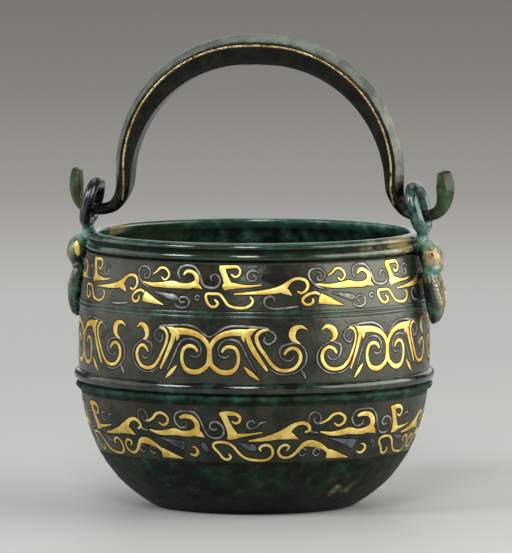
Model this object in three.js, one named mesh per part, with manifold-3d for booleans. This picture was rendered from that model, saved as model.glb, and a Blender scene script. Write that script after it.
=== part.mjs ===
// A small cast-bronze pail with a swinging bail, inlaid with gold scrolls.
//
// The pail is a round-bottomed bowl with a hoop round its belly and two beads at its rim. A cast
// ear stands on each side, a cicada with a ring over its head, held by a rivet through the wall.
// The bail is one bar bent to an arch. Its ends hook outwards through the rings, so it swings
// fore and aft. It has slid a little to the right in its rings. Gold scrolls lie in three shallow
// bands of the wall, in six repeats round it, and a gold line runs along each face of the bail.
//
// Millimetres, +Z up, with the origin on the ground at the vessel's axis. The ears lie on the X
// axis, +X to the right, and the front of the pail faces -Y.

import * as THREE from 'three';
import { mergeVertices } from 'three/addons/utils/BufferGeometryUtils.js';
import Module from 'manifold-3d';

const wasm = await Module();
wasm.setup();

// Vessel: radii of the finished outer wall, from the ground up.
const BASE_RADIUS = 41;
const BOWL_RADIUS = 57.5; // half way up the plain bowl
const LOWER_BAND_FOOT_RADIUS = 64.9;
const LOWER_BAND_MIDDLE_RADIUS = 69.3;
const BELLY_RADIUS = 72.2; // where the hoop sits
const BELLY_BULGE = 0.4; // the middle band swells this much over it
const SHOULDER_RADIUS = 72.2; // top of the middle band
const NECK_RADIUS = 69.2; // under the rim beads
const RIM_RADIUS = 67.4;
const HOOP_OUT = 2.2; // how far the hoop stands out of the wall
const UNDER_HOOP_OUT = 1.9; // and the bead under it
const LINE_OUT = 0.5;
const BEAD_OUT = 0.5;
const LIP_EASE = 0.9; // rounding of the lip's outer edge
const WALL = 2.6;
const FLOOR = 3.2;
const ROUND_STEPS = 48; // facets round the vessel
const INSIDE_STEPS = 5; // straight stretches up its inside

// Vessel: heights of its zones, stacked from the ground up.
const BOWL_HEIGHT = 24;
const LOWER_BAND_HEIGHT = 23.5;
const UNDER_HOOP_HEIGHT = 4.6;
const HOOP_HEIGHT = 4.8;
const MIDDLE_BAND_HEIGHT = 26;
const LINES_HEIGHT = 3.6;
const UPPER_BAND_HEIGHT = 19;
const NECK_GROOVE_HEIGHT = 1.2;
const BEAD_HEIGHT = 2.7;
const RIM_GROOVE_HEIGHT = 0.9;
const RIM_HEIGHT = 3.2;

// Inlay: the beds are turned into the wall, and the gold lies in them flush with it.
const BED_DEPTH = 0.9;
const BED_GAP = 0.3;
const BED_STEPS = 2; // straight stretches in a bed's profile
const REPEATS = 6;
const JOIN_INSET = 0.06; // a strip that joins another is this much thinner on each side

// Bail: an arch whose legs turn out, pass through the rings and hook up to a leaf-shaped tip.
const ARCH_RADIUS = 58.1; // centre of the bar
const BAIL_HEIGHT = 188.7; // centre of the bar at the crown
const SHOULDER_OUT = 0.8; // the arch is fuller than an oval by this much, sideways
const SHOULDER_UP = 1; // and upwards
const BAIL_SHIFT = 2.2; // the bail has slid this far to the right in its rings
const CROWN_THICKNESS = 12.7;
const LEG_THICKNESS = 7.2;
const THICKENING = 0.8; // below 1 the legs thicken fast above the rings
const CROWN_WIDTH = 11;
const LEG_WIDTH = 9.6;
const GABLE_RISE = 3; // the outer side of the bar is a low gable
const TURN_OUT_HEIGHT = 10.6; // the leg starts to turn out this far above its hook
const HOOK_DIAMETER = 4.8;
const HOOK_REACH = 9.5; // from the ring's middle out to the middle of the tip
const HOOK_RISE = 18.9; // from the bar's centre in the ring up to the end of the tip
const TIP_THICKNESS = 6.6;
const TIP_WIDTH = 9;
const TIP_END = 0.5; // the tip narrows to this share of itself
const LINE_WIDTH = 1; // gold line on each face
const LINE_DEPTH = 0.7;
const LINE_SIDE_GAP = 0.15;
const LINE_BACK_GAP = 0.3;
const LINE_FROM_EDGE = 1.3; // it runs this far in from the edge of the gable

// Ears: a ring, a neck against the rim, a head with gold eyes, and a tapering body.
const RING_BAR = 4.6; // across the ring's bar
const RING_DEPTH = 4.7; // the bar, measured outwards
const RING_HALF_WIDTH = 7.8; // to the centre of the bar
const RING_HALF_HEIGHT = 8.1;
const RING_SQUARENESS = 2.5; // 2 is a plain oval
const RING_LEAN = 14; // degrees that the ring's top leans inwards
const RING_OVER_LIP = 0.4; // the ring's foot stands this far over the lip
const HOOK_GAP = 0.35; // between the hook and its seat in the ring
const EAR_GAP = 0.3; // between the ear and the vessel
const NECK_WIDTH = 7.6;
const NECK_THICKNESS = 4.6;
const HEAD_BELOW_LIP = 2.2;
const HEAD_DEPTH = 9.4;
const HEAD_WIDTH = 15.6;
const HEAD_HEIGHT = 13.4;
const BODY_DEPTH = 6.6;
const BODY_WIDTH = 12.8;
const BODY_HEIGHT = 21.4;
const EAR_STANDOFF = 1; // head and body hang this far clear of the wall
const EYE_DIAMETER = 5;
const EYE_DEPTH = 1.7;
const EYE_GAP = 0.15;
const BOSS_DIAMETER = 6;
const RIVET_BELOW_LIP = 17.2;
const RIVET_DIAMETER = 2.4;
const RIVET_HEAD_DIAMETER = 6;
const RIVET_HEAD_THICKNESS = 1.6;
const RIVET_GAP = 0.15;
const RIVET_INTO_EAR = 2.6;

const BRONZE = { color: 0x252a24, roughness: 0.45, metalness: 0.7 };
const PATINA = { color: 0x3f6656, roughness: 0.6, metalness: 0.45 };
const DARK_BAR = { color: 0x20241f, roughness: 0.35, metalness: 0.75 };
const GOLD = { color: 0xd9b04a, roughness: 0.3, metalness: 1 };

// Heights of the zones' borders.
const lowerBand = { foot: BOWL_HEIGHT, top: BOWL_HEIGHT + LOWER_BAND_HEIGHT };
const hoopFoot = lowerBand.top + UNDER_HOOP_HEIGHT;
const hoopTop = hoopFoot + HOOP_HEIGHT;
const middleBand = { foot: hoopTop, top: hoopTop + MIDDLE_BAND_HEIGHT };
const upperBandFoot = middleBand.top + LINES_HEIGHT;
const upperBand = { foot: upperBandFoot, top: upperBandFoot + UPPER_BAND_HEIGHT };
const beadFoot = upperBand.top + NECK_GROOVE_HEIGHT;
const beadTop = beadFoot + BEAD_HEIGHT;
const rimFoot = beadTop + RIM_GROOVE_HEIGHT;
const lip = rimFoot + RIM_HEIGHT;
const inside = { foot: lowerBand.foot, top: lip - LIP_EASE / 2 };

// The finished outer wall as one smooth line, from the edge of the base to the lip.
const wallLine = new THREE.SplineCurve([
  new THREE.Vector2(BASE_RADIUS, 0),
  new THREE.Vector2((BASE_RADIUS + BOWL_RADIUS) / 2, BOWL_HEIGHT * 0.22),
  new THREE.Vector2(BOWL_RADIUS, BOWL_HEIGHT * 0.54),
  new THREE.Vector2(LOWER_BAND_FOOT_RADIUS, lowerBand.foot),
  new THREE.Vector2(LOWER_BAND_MIDDLE_RADIUS, (lowerBand.foot + lowerBand.top) / 2),
  new THREE.Vector2(BELLY_RADIUS, hoopFoot),
  new THREE.Vector2(BELLY_RADIUS + BELLY_BULGE, (middleBand.foot + middleBand.top) / 2),
  new THREE.Vector2(SHOULDER_RADIUS, middleBand.top),
  new THREE.Vector2(NECK_RADIUS, upperBand.top),
  new THREE.Vector2(RIM_RADIUS, lip),
]).getPoints(300);

// Radius of the finished outer wall at a height.
function wallRadius(height) {
  const above = wallLine.findIndex((p) => p.y >= height);
  if (above < 1) return above === 0 ? wallLine[0].x : wallLine[wallLine.length - 1].x;
  const [a, b] = [wallLine[above - 1], wallLine[above]];
  return a.x + ((b.x - a.x) * (height - a.y)) / (b.y - a.y);
}

// Points of the wall's line between two heights, moved outwards by an offset.
function alongWall(from, to, offset, steps) {
  return Array.from({ length: steps + 1 }, (_, i) => {
    const height = from + ((to - from) * i) / steps;
    return new THREE.Vector2(wallRadius(height) + offset, height);
  });
}

// Radius at a height where a zone of the wall is turned as a number of straight stretches.
function stretchRadius(zone, steps, height) {
  const step = (zone.top - zone.foot) / steps;
  const stretch = Math.min(Math.max(Math.floor((height - zone.foot) / step), 0), steps - 1);
  const from = zone.foot + stretch * step;
  const share = (height - from) / step;
  return wallRadius(from) * (1 - share) + wallRadius(from + step) * share;
}

// A half-round moulding that stands out of the wall between two heights.
function moulding(from, to, out, steps) {
  return Array.from({ length: steps + 1 }, (_, i) => {
    const turn = (Math.PI * i) / steps;
    const height = (from + to) / 2 - (Math.cos(turn) * (to - from)) / 2;
    return new THREE.Vector2(wallRadius(height) + out * Math.sin(turn), height);
  });
}

// A closed mesh as a solid, for cutting and joining.
function solid(geometry) {
  const bare = new THREE.BufferGeometry();
  bare.setAttribute('position', geometry.getAttribute('position'));
  bare.setIndex(geometry.index);
  const merged = mergeVertices(bare, 1e-4);
  return new wasm.Manifold(
    new wasm.Mesh({
      numProp: 3,
      vertProperties: new Float32Array(merged.attributes.position.array),
      triVerts: new Uint32Array(merged.index.array),
    }),
  );
}

// A named piece from a solid.
function piece(name, made, finish) {
  const mesh = made.getMesh();
  const geometry = new THREE.BufferGeometry();
  geometry.setAttribute('position', new THREE.BufferAttribute(mesh.vertProperties, 3));
  geometry.setIndex(new THREE.BufferAttribute(mesh.triVerts, 1));
  const result = new THREE.Mesh(geometry, new THREE.MeshStandardMaterial(finish));
  result.name = name;
  return result;
}

// Triangles that close a ring of points, all turning the same way as the ring.
function cap(ring) {
  const normal = new THREE.Vector3();
  ring.forEach((p, i) => {
    const next = ring[(i + 1) % ring.length];
    normal.add(new THREE.Vector3().crossVectors(p, next));
  });
  const across = new THREE.Vector3().subVectors(ring[1], ring[0]).normalize();
  const up = new THREE.Vector3().crossVectors(normal.normalize(), across);
  const outline = ring.map((p) => new THREE.Vector2(p.dot(across), p.dot(up)));
  return THREE.ShapeUtils.triangulateShape(outline, []);
}

// A closed solid through rings of points. Where closed is true, the last ring meets the first.
function skin(rings, closed = false) {
  const count = rings[0].length;
  const points = rings.flat();
  const faces = [];
  const spans = closed ? rings.length : rings.length - 1;
  for (let ring = 0; ring < spans; ring++) {
    const [here, there] = [ring * count, ((ring + 1) % rings.length) * count];
    for (let i = 0; i < count; i++) {
      const j = (i + 1) % count;
      faces.push([here + i, here + j, there + j], [here + i, there + j, there + i]);
    }
  }
  if (!closed) {
    const last = points.length - count;
    cap(rings[0]).forEach(([a, b, c]) => faces.push([a, c, b]));
    cap(rings.at(-1)).forEach(([a, b, c]) => faces.push([last + a, last + b, last + c]));
  }
  const volume = faces.reduce((sum, [a, b, c]) => {
    return sum + points[a].dot(new THREE.Vector3().crossVectors(points[b], points[c]));
  }, 0);
  const outwards = volume > 0 ? faces : faces.map(([a, b, c]) => [a, c, b]);
  const geometry = new THREE.BufferGeometry().setFromPoints(points);
  geometry.setIndex(outwards.flat());
  return solid(geometry);
}

// A round bar along X, from one place to another, at a height.
function barAlongX(from, to, diameter, height, sides = 16) {
  const ring = (x) =>
    Array.from({ length: sides }, (_, i) => {
      const turn = (2 * Math.PI * (i + 0.5)) / sides;
      const radius = diameter / 2;
      return new THREE.Vector3(x, radius * Math.cos(turn), height + radius * Math.sin(turn));
    });
  return skin([ring(from), ring(to)]);
}

// The vessel: one turned wall, drilled for the rivets of its two ears.
function vessel() {
  const bed = (band) => [
    new THREE.Vector2(wallRadius(band.foot), band.foot),
    ...alongWall(band.foot, band.top, -BED_DEPTH, BED_STEPS),
    new THREE.Vector2(wallRadius(band.top), band.top),
  ];
  const outside = [
    new THREE.Vector2(0, 0),
    ...alongWall(0, BOWL_HEIGHT, 0, 5).slice(0, -1),
    ...bed(lowerBand),
    ...moulding(lowerBand.top + UNDER_HOOP_HEIGHT / 8, hoopFoot - UNDER_HOOP_HEIGHT / 8, UNDER_HOOP_OUT, 4),
    ...moulding(hoopFoot, hoopTop, HOOP_OUT, 5).slice(0, -1),
    ...bed(middleBand),
    ...moulding(middleBand.top + LINES_HEIGHT / 8, upperBand.foot - LINES_HEIGHT / 8, LINE_OUT, 3),
    ...bed(upperBand),
    new THREE.Vector2(wallRadius(beadFoot) - LINE_OUT, beadFoot - NECK_GROOVE_HEIGHT / 3),
    ...moulding(beadFoot, beadTop, BEAD_OUT, 3),
    new THREE.Vector2(wallRadius(rimFoot) - LINE_OUT, rimFoot - RIM_GROOVE_HEIGHT / 2),
    ...moulding(rimFoot, lip - LIP_EASE / 2, BEAD_OUT, 3),
    new THREE.Vector2(RIM_RADIUS - LIP_EASE, lip),
  ];
  const inner = [
    new THREE.Vector2(RIM_RADIUS - WALL + LIP_EASE / 3, lip),
    ...alongWall(inside.foot, inside.top, -WALL, INSIDE_STEPS).reverse(),
    ...alongWall(FLOOR * 1.4, inside.foot, -WALL, 4).reverse().slice(1),
    new THREE.Vector2(wallRadius(FLOOR) - WALL * 2, FLOOR),
    new THREE.Vector2(0, FLOOR),
  ];
  const turned = new THREE.LatheGeometry([...outside, ...inner], ROUND_STEPS);
  turned.rotateX(Math.PI / 2);
  const hole = RIVET_DIAMETER + 2 * RIVET_GAP;
  const drill = barAlongX(-2 * BELLY_RADIUS, 2 * BELLY_RADIUS, hole, lip - RIVET_BELOW_LIP);
  return solid(turned).subtract(drill);
}

// Where the ring stands, and where the hook sits in it.
const lean = THREE.MathUtils.degToRad(RING_LEAN);
const ringFoot = lip + RING_OVER_LIP;
const ringMiddle = ringFoot + (RING_HALF_HEIGHT + RING_BAR / 2) * Math.cos(lean);
const rimOut = Math.max(RIM_RADIUS, wallRadius(rimFoot)) + BEAD_OUT;
const ringOut = rimOut + EAR_GAP + RING_DEPTH / 2 - RING_HALF_HEIGHT * Math.sin(lean);
const ringBarHalf = Math.hypot(Math.cos(lean) * RING_BAR, Math.sin(lean) * RING_DEPTH) / 2;
const ringSeat = ringMiddle - RING_HALF_HEIGHT * Math.cos(lean) + ringBarHalf;
const hookHeight = ringSeat + HOOK_GAP + HOOK_DIAMETER / 2;
const hookOut = ringOut + (ringMiddle - hookHeight) * Math.tan(lean);

const axisHeight = hookHeight; // the bail's axis runs through its two hooks

// The standing ring of the right-hand ear, leaning inwards.
function ring() {
  const steps = { round: 20, bar: 8 };
  const up = new THREE.Vector3(-Math.sin(lean), 0, Math.cos(lean));
  const out = new THREE.Vector3(Math.cos(lean), 0, Math.sin(lean));
  const across = new THREE.Vector3(0, 1, 0);
  const middle = new THREE.Vector3(ringOut, 0, ringMiddle);
  const bent = (share) => Math.sign(share) * Math.abs(share) ** (2 / RING_SQUARENESS);
  const centreAt = (turn) =>
    middle
      .clone()
      .addScaledVector(across, RING_HALF_WIDTH * bent(Math.sin(turn)))
      .addScaledVector(up, RING_HALF_HEIGHT * bent(Math.cos(turn)));
  const rings = Array.from({ length: steps.round }, (_, i) => {
    const turn = (2 * Math.PI * (i + 0.5)) / steps.round;
    const centre = centreAt(turn);
    const away = centreAt(turn + 0.1).sub(centreAt(turn - 0.1)).cross(out).negate().normalize();
    return Array.from({ length: steps.bar }, (_, j) => {
      const around = (2 * Math.PI * j) / steps.bar;
      return centre
        .clone()
        .addScaledVector(away, (RING_BAR / 2) * Math.cos(around))
        .addScaledVector(out, (RING_DEPTH / 2) * Math.sin(around));
    });
  });
  return skin(rings, true);
}

// An oval slice of the ear at a height, from its inner face outwards.
function slice(height, inner, depth, width) {
  const sides = 12;
  return Array.from({ length: sides }, (_, i) => {
    const turn = (2 * Math.PI * i) / sides;
    const x = inner + (depth / 2) * (1 + Math.cos(turn));
    return new THREE.Vector3(x, (width / 2) * Math.sin(turn), height);
  });
}

const headTop = lip - HEAD_BELOW_LIP;
const headMiddle = headTop - HEAD_HEIGHT / 2;
const headFoot = headTop - HEAD_HEIGHT;
const rivetHeight = lip - RIVET_BELOW_LIP;

// The cicada of the right-hand ear: its body hangs with the tail down, and its head is on top.
function cicada() {
  const inner = (height) => wallRadius(height) + EAR_STANDOFF;
  // Shares of the body's height, depth and width, from the tail up.
  const tail = [
    [0, 0.22, 0.16],
    [0.1, 0.5, 0.46],
    [0.3, 0.8, 0.76],
    [0.55, 0.96, 0.95],
    [0.8, 1, 1],
    [0.95, 0.9, 0.88],
  ].map(([rise, depth, width]) => {
    const height = headFoot - BODY_HEIGHT * (1 - rise);
    const inset = (BODY_DEPTH * (1 - depth)) / 3;
    return slice(height, inner(height) + inset, BODY_DEPTH * depth, BODY_WIDTH * width);
  });
  const head = [-0.82, -0.5, -0.1, 0.3, 0.65, 0.9, 0.985].map((rise) => {
    const height = headMiddle + (HEAD_HEIGHT / 2) * rise;
    const share = Math.sqrt(1 - rise * rise);
    const inset = (HEAD_DEPTH * (1 - share)) / 2;
    return slice(height, inner(height) + inset, HEAD_DEPTH * share, HEAD_WIDTH * share);
  });
  return skin([...tail, ...head]);
}

// The strap that joins the head to the ring, close against the rim.
function neck() {
  const inner = Math.max(wallRadius((beadFoot + beadTop) / 2) + BEAD_OUT, rimOut) + EAR_GAP;
  const foot = headMiddle;
  const top = ringFoot + RING_BAR / 2;
  return skin([foot, top].map((height) => slice(height, inner, NECK_THICKNESS, NECK_WIDTH)));
}

// A socket or a plug for an eye, on the front or the back side of the head.
function eye(side, diameter, from, to) {
  const sides = 12;
  const x = wallRadius(headMiddle) + EAR_STANDOFF + HEAD_DEPTH / 2;
  const round = (y, share) =>
    Array.from({ length: sides }, (_, i) => {
      const turn = (2 * Math.PI * i) / sides;
      const radius = (diameter / 2) * share;
      return new THREE.Vector3(x + radius * Math.cos(turn), side * y, headMiddle + radius * Math.sin(turn));
    });
  const step = (to - from) / 4;
  return skin([round(from, 1), round(to - step, 1), round(to, 0.8)]);
}

const eyeFace = HEAD_WIDTH / 2;

// One ear, seen on the right of the pail: cast in one, bored for its rivet and its two eyes.
function ear() {
  const bossEnd = wallRadius(rivetHeight - BOSS_DIAMETER / 2) + EAR_GAP;
  const boss = barAlongX(bossEnd, bossEnd + BODY_DEPTH / 2, BOSS_DIAMETER, rivetHeight);
  const bore = barAlongX(
    bossEnd - 1,
    bossEnd + RIVET_INTO_EAR + BED_GAP,
    RIVET_DIAMETER + 2 * RIVET_GAP,
    rivetHeight,
  );
  const sockets = [-1, 1].map((side) => {
    return eye(side, EYE_DIAMETER + 2 * EYE_GAP, eyeFace - EYE_DEPTH - EYE_GAP, eyeFace + EYE_DEPTH);
  });
  const cast = cicada().add(neck()).add(ring()).add(boss);
  return sockets.reduce((made, socket) => made.subtract(socket), cast.subtract(bore));
}

// The rivet of the right-hand ear: a low domed head inside the vessel, and a shank into the ear.
function rivet() {
  const edges = [-1, 1].map((side) => {
    return stretchRadius(inside, INSIDE_STEPS, rivetHeight + (side * RIVET_HEAD_DIAMETER) / 2);
  });
  const headFace = (Math.min(...edges) - WALL) * Math.cos(Math.PI / ROUND_STEPS);
  const shankEnd = wallRadius(rivetHeight - BOSS_DIAMETER / 2) + EAR_GAP + RIVET_INTO_EAR;
  const start = headFace - RIVET_GAP - RIVET_HEAD_THICKNESS;
  const neckAt = start + RIVET_HEAD_THICKNESS;
  const [shank, wide] = [RIVET_DIAMETER / 2, RIVET_HEAD_DIAMETER / 2];
  const outline = [
    [0, start],
    [wide * 0.6, start + RIVET_HEAD_THICKNESS * 0.2],
    [wide, start + RIVET_HEAD_THICKNESS * 0.7],
    [wide, neckAt],
    [shank, neckAt],
    [shank, shankEnd],
    [0, shankEnd],
  ].map(([radius, out]) => new THREE.Vector2(radius, out));
  const turned = new THREE.LatheGeometry(outline, 16);
  turned.rotateZ(-Math.PI / 2);
  turned.translate(0, 0, rivetHeight);
  return solid(turned);
}

// The bail's right half, from the crown to the tip, with heights over its own axis. The arch is
// half an oval with fuller shoulders. Then each entry gives a share of the way out, a share of the height, and how round
// the bar has become.
const TURN_OUT = [
  [0.03, 0.8, 0.15],
  [0.13, 0.48, 0.5],
  [0.34, 0.17, 0.85],
  [0.66, 0.02, 1],
  [1, 0, 1],
];
const TURN_UP = [
  [0.36, 0.015, 1],
  [0.72, 0.125, 0.75],
  [0.96, 0.35, 0.3],
  [1.02, 0.63, 0],
  [0.95, 1, 0],
];
const ARCH_STATIONS = 9;

function bailStations() {
  const mix = (a, b, share) => a + (b - a) * share;
  const archRise = BAIL_HEIGHT - axisHeight - TURN_OUT_HEIGHT;
  const arch = Array.from({ length: ARCH_STATIONS }, (_, i) => {
    const turn = (Math.PI / 2) * (1 - i / (ARCH_STATIONS - 1));
    const share = Math.sin(turn);
    return {
      x: ARCH_RADIUS * Math.cos(turn) + SHOULDER_OUT * Math.sin(2 * turn),
      z: TURN_OUT_HEIGHT + archRise * share + SHOULDER_UP * Math.sin(2 * turn),
      thickness: mix(LEG_THICKNESS, CROWN_THICKNESS, share ** THICKENING),
      width: mix(LEG_WIDTH, CROWN_WIDTH, share),
      round: 0,
      outside: 1,
    };
  });
  const down = TURN_OUT.map(([out, rise, round]) => ({
    x: mix(ARCH_RADIUS, hookOut, out),
    z: TURN_OUT_HEIGHT * rise,
    thickness: mix(LEG_THICKNESS, HOOK_DIAMETER, round),
    width: mix(LEG_WIDTH, HOOK_DIAMETER, round),
    round,
    outside: 1,
  }));
  const up = TURN_UP.map(([out, rise, round]) => ({
    x: hookOut + HOOK_REACH * out,
    z: HOOK_RISE * rise,
    thickness: mix(TIP_THICKNESS, HOOK_DIAMETER, round) * (rise === 1 ? TIP_END : 1),
    width: mix(TIP_WIDTH, HOOK_DIAMETER, round) * (rise === 1 ? TIP_END : 1),
    round,
    outside: -1,
  }));
  return [...arch, ...down, ...up];
}

const stations = bailStations();
const barLine = new THREE.CatmullRomCurve3(stations.map((s) => new THREE.Vector3(s.x, 0, s.z)));
const BAR_STEPS = 26;

// The bar at a share of its half length: its centre, its outward normal and its section there.
function barAt(share) {
  const place = share * (stations.length - 1);
  const before = Math.min(Math.floor(place), stations.length - 2);
  const [a, b, part] = [stations[before], stations[before + 1], place - before];
  const between = (key) => a[key] + (b[key] - a[key]) * part;
  const tangent = barLine.getTangent(share);
  return {
    centre: barLine.getPoint(share),
    normal: new THREE.Vector3(-tangent.z, 0, tangent.x),
    thickness: between('thickness'),
    width: between('width'),
    round: between('round'),
    outside: part < 0.5 ? a.outside : b.outside,
  };
}

// A point of the bar, at a height along its normal and a distance across it.
function onBar(at, out, across) {
  return at.centre.clone().addScaledVector(at.normal, out).add(new THREE.Vector3(0, across, 0));
}

// One slice of the bar: gabled on its outer side, and round where it turns in the ring.
function barSlice(at) {
  const [half, wide] = [at.thickness / 2, at.width / 2];
  const gable = Math.min(GABLE_RISE, half);
  const edge = (half - gable) * at.outside;
  const gabled = [
    [half, 0],
    [at.outside > 0 ? edge : half, wide],
    [0, wide],
    [at.outside > 0 ? -half : edge, wide],
    [-half, 0],
    [at.outside > 0 ? -half : edge, -wide],
    [0, -wide],
    [at.outside > 0 ? edge : half, -wide],
  ];
  return gabled.map(([out, across], i) => {
    const turn = (Math.PI * i) / 4;
    const roundOut = half * Math.cos(turn);
    const roundAcross = wide * Math.sin(turn);
    const mixed = [out, across].map((v, k) => v + ([roundOut, roundAcross][k] - v) * at.round);
    return onBar(at, ...mixed);
  });
}

// The same slices over both halves, from the left-hand end to the right-hand one.
function overBothHalves(sliceAt, steps, end) {
  const right = Array.from({ length: steps + 1 }, (_, i) => sliceAt(barAt((end * i) / steps)));
  const left = right.slice(1).map((points) => points.map((p) => new THREE.Vector3(-p.x, p.y, p.z)));
  return [...left.reverse(), ...right];
}

const lineEnd = ARCH_STATIONS / (stations.length - 1); // where the leg starts to turn out
const LINE_STEPS = 14;

// A strip along one face of the bail: the gold line, or with gaps the groove that holds it.
function faceLine(side, sideGap, floor, top) {
  const lineSlice = (at) => {
    const middle = at.thickness / 2 - GABLE_RISE - LINE_FROM_EDGE - LINE_WIDTH / 2;
    const half = LINE_WIDTH / 2 + sideGap;
    const face = at.width / 2;
    return [
      [middle + half, face + top],
      [middle + half, face - floor],
      [middle - half, face - floor],
      [middle - half, face + top],
    ].map(([out, across]) => onBar(at, out, side * across));
  };
  return skin(overBothHalves(lineSlice, LINE_STEPS, lineEnd));
}

function bail() {
  const bar = skin(overBothHalves(barSlice, BAR_STEPS, 1));
  return [-1, 1].reduce((made, side) => {
    return made.subtract(faceLine(side, LINE_SIDE_GAP, LINE_DEPTH + LINE_BACK_GAP, 1));
  }, bar);
}

// Scrolls, drawn on the unrolled wall. A stroke's points are degrees from the middle of a repeat,
// millimetres over the foot of the band, and the stroke's width. A band's height here is the one
// that its figures were drawn for, and FIGURE_REPEATS is how many were to go round the wall. The
// smith set them out by eye: each entry of UNEVEN is an angle round the wall, 0 in front, and the
// degrees that the figures there lie off their even place.
const FIGURE_REPEATS = 6;
const UNEVEN_LOWER = [
  [-180, 0],
  [28, 0],
  [37, 0.7],
  [45, 1.5],
  [52, 2.2],
  [56, 3],
  [66, 3.5],
  [75, 3],
  [95, 0],
  [180, 0],
];
const UNEVEN_MIDDLE = [
  [-180, 0],
  [-60, 0],
  [-46.4, -2.6],
  [-42, -2.3],
  [-33, -1.5],
  [-27, 0.4],
  [-13, 0],
  [13.5, 0],
  [17.3, 1.3],
  [27, 2.4],
  [33, 3.8],
  [37, 4.2],
  [42.7, 4.6],
  [48, 3.2],
  [60, 3],
  [73, 2],
  [95, 0],
  [180, 0],
];
const UNEVEN_UPPER = [
  [-180, 0],
  [-80, 0],
  [-58, 1.5],
  [-50, 1.5],
  [-40, 0.5],
  [-30, 0],
  [30, 0],
  [34.5, 1],
  [40, 1.6],
  [50, 1],
  [56, 1],
  [64, 2],
  [72, 2],
  [95, 0],
  [180, 0],
];
const FIGURES = {
  lower: { height: 23.5, uneven: UNEVEN_LOWER },
  middle: { height: 26, uneven: UNEVEN_MIDDLE },
  upper: { height: 19, uneven: UNEVEN_UPPER },
};

const HEART_SIDE = [
  [-13.6, 20.9, 2.2],
  [-10.8, 20.8, 2.7],
  [-7.5, 20.7, 2.4],
  [-4, 19.6, 2],
  [-1.6, 17.4, 1.7],
  [-0.3, 14.6, 1.6],
  [-0.1, 11.2, 1.8],
  [-0.6, 7.6, 1.7],
  [-2.9, 5.1, 1.8],
  [-5.6, 4.4, 1.9],
  [-8.1, 5.6, 1.6],
  [-9.3, 8.6, 1.3],
  [-9.3, 11.9, 1.3],
  [-8.4, 14.2, 1.3],
  [-6.6, 15, 1.3],
  [-4.9, 14.3, 1.2],
  [-4.1, 12.9, 1],
];
const HEART_LEG = [
  [-12.2, 20.4, 2],
  [-12.7, 17.6, 1.9],
  [-14.2, 13, 1.6],
  [-15.7, 9.2, 1.3],
  [-17.3, 5.4, 0.8],
];
const SIDE_SCROLL = [
  [-17.6, 22, 0.8],
  [-15.9, 21.3, 1.1],
  [-14.8, 19.2, 1.1],
  [-15.2, 15.8, 1.1],
  [-16.9, 11.5, 1.1],
  [-18.4, 8.2, 1.2],
  [-20.3, 5.9, 1.3],
  [-22.8, 5.2, 1.3],
  [-25.1, 6, 1.3],
  [-26.6, 8.3, 1.2],
  [-27, 11, 1.2],
  [-26.2, 13.5, 1.2],
  [-24.7, 14.4, 1.2],
  [-23.2, 13.5, 1.1],
  [-22.4, 12, 0.8],
];
const UPPER_HOOK = [
  [-25.4, 10.4, 0.6],
  [-21.8, 9.6, 1.4],
  [-17, 9.7, 2.2],
  [-13.6, 10, 2.8],
  [-10.4, 9.6, 2],
  [-7, 9.8, 2.2],
  [-5, 11.3, 2],
  [-5, 13.5, 1.6],
  [-6.7, 15.3, 1.3],
  [-8.6, 15.4, 1.2],
  [-9.6, 14.2, 0.8],
];
const UPPER_CREST = [
  [8, 6.7, 0.6],
  [14.5, 7.2, 1.2],
  [20.6, 7.9, 2.2],
  [24, 9.1, 2.6],
  [25.9, 11.2, 1.4],
  [27.7, 12.5, 1.1],
  [29.6, 12.8, 1.1],
  [31.4, 11.9, 1.1],
  [32, 9.8, 1],
  [31.3, 7.8, 0.9],
  [30, 7, 0.9],
  [28.9, 7.6, 0.7],
];
const LOWER_HOOK = [
  [-23.2, 12.4, 0.6],
  [-19.5, 11.5, 1.6],
  [-15.6, 11.9, 2.4],
  [-13.2, 12.3, 2.8],
  [-10.4, 11.7, 2.2],
  [-7, 12, 2.5],
  [-5, 13.8, 2.3],
  [-5, 16.3, 2],
  [-6.5, 18.5, 1.8],
  [-8.8, 19, 1.7],
  [-10.7, 18.4, 1.1],
];
const LOWER_CREST = [
  [12.8, 9.2, 0.7],
  [17, 9.8, 1.5],
  [21.4, 10.9, 2.6],
  [24.8, 12.4, 3.6],
  [27, 14.8, 2.2],
  [28.8, 16.1, 1.5],
  [30.8, 16.4, 1.4],
  [32.5, 15.2, 1.3],
  [32.9, 13.4, 1.1],
  [31.6, 12.6, 0.9],
];
const mirrored = (stroke) => stroke.map(([angle, height, width]) => [-angle, height, width]);
const SAMPLES_PER_POINT = 1.2;

// An angle round the wall, moved to where the smith set it.
function setOut(uneven, turn) {
  const angle = THREE.MathUtils.euclideanModulo(THREE.MathUtils.radToDeg(turn) + 180, 360) - 180;
  const next = uneven.findIndex(([from]) => from > angle);
  const [low, lowOff] = uneven[next - 1];
  const [high, highOff] = uneven[next];
  return turn + THREE.MathUtils.degToRad(THREE.MathUtils.mapLinear(angle, low, high, lowOff, highOff));
}

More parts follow.
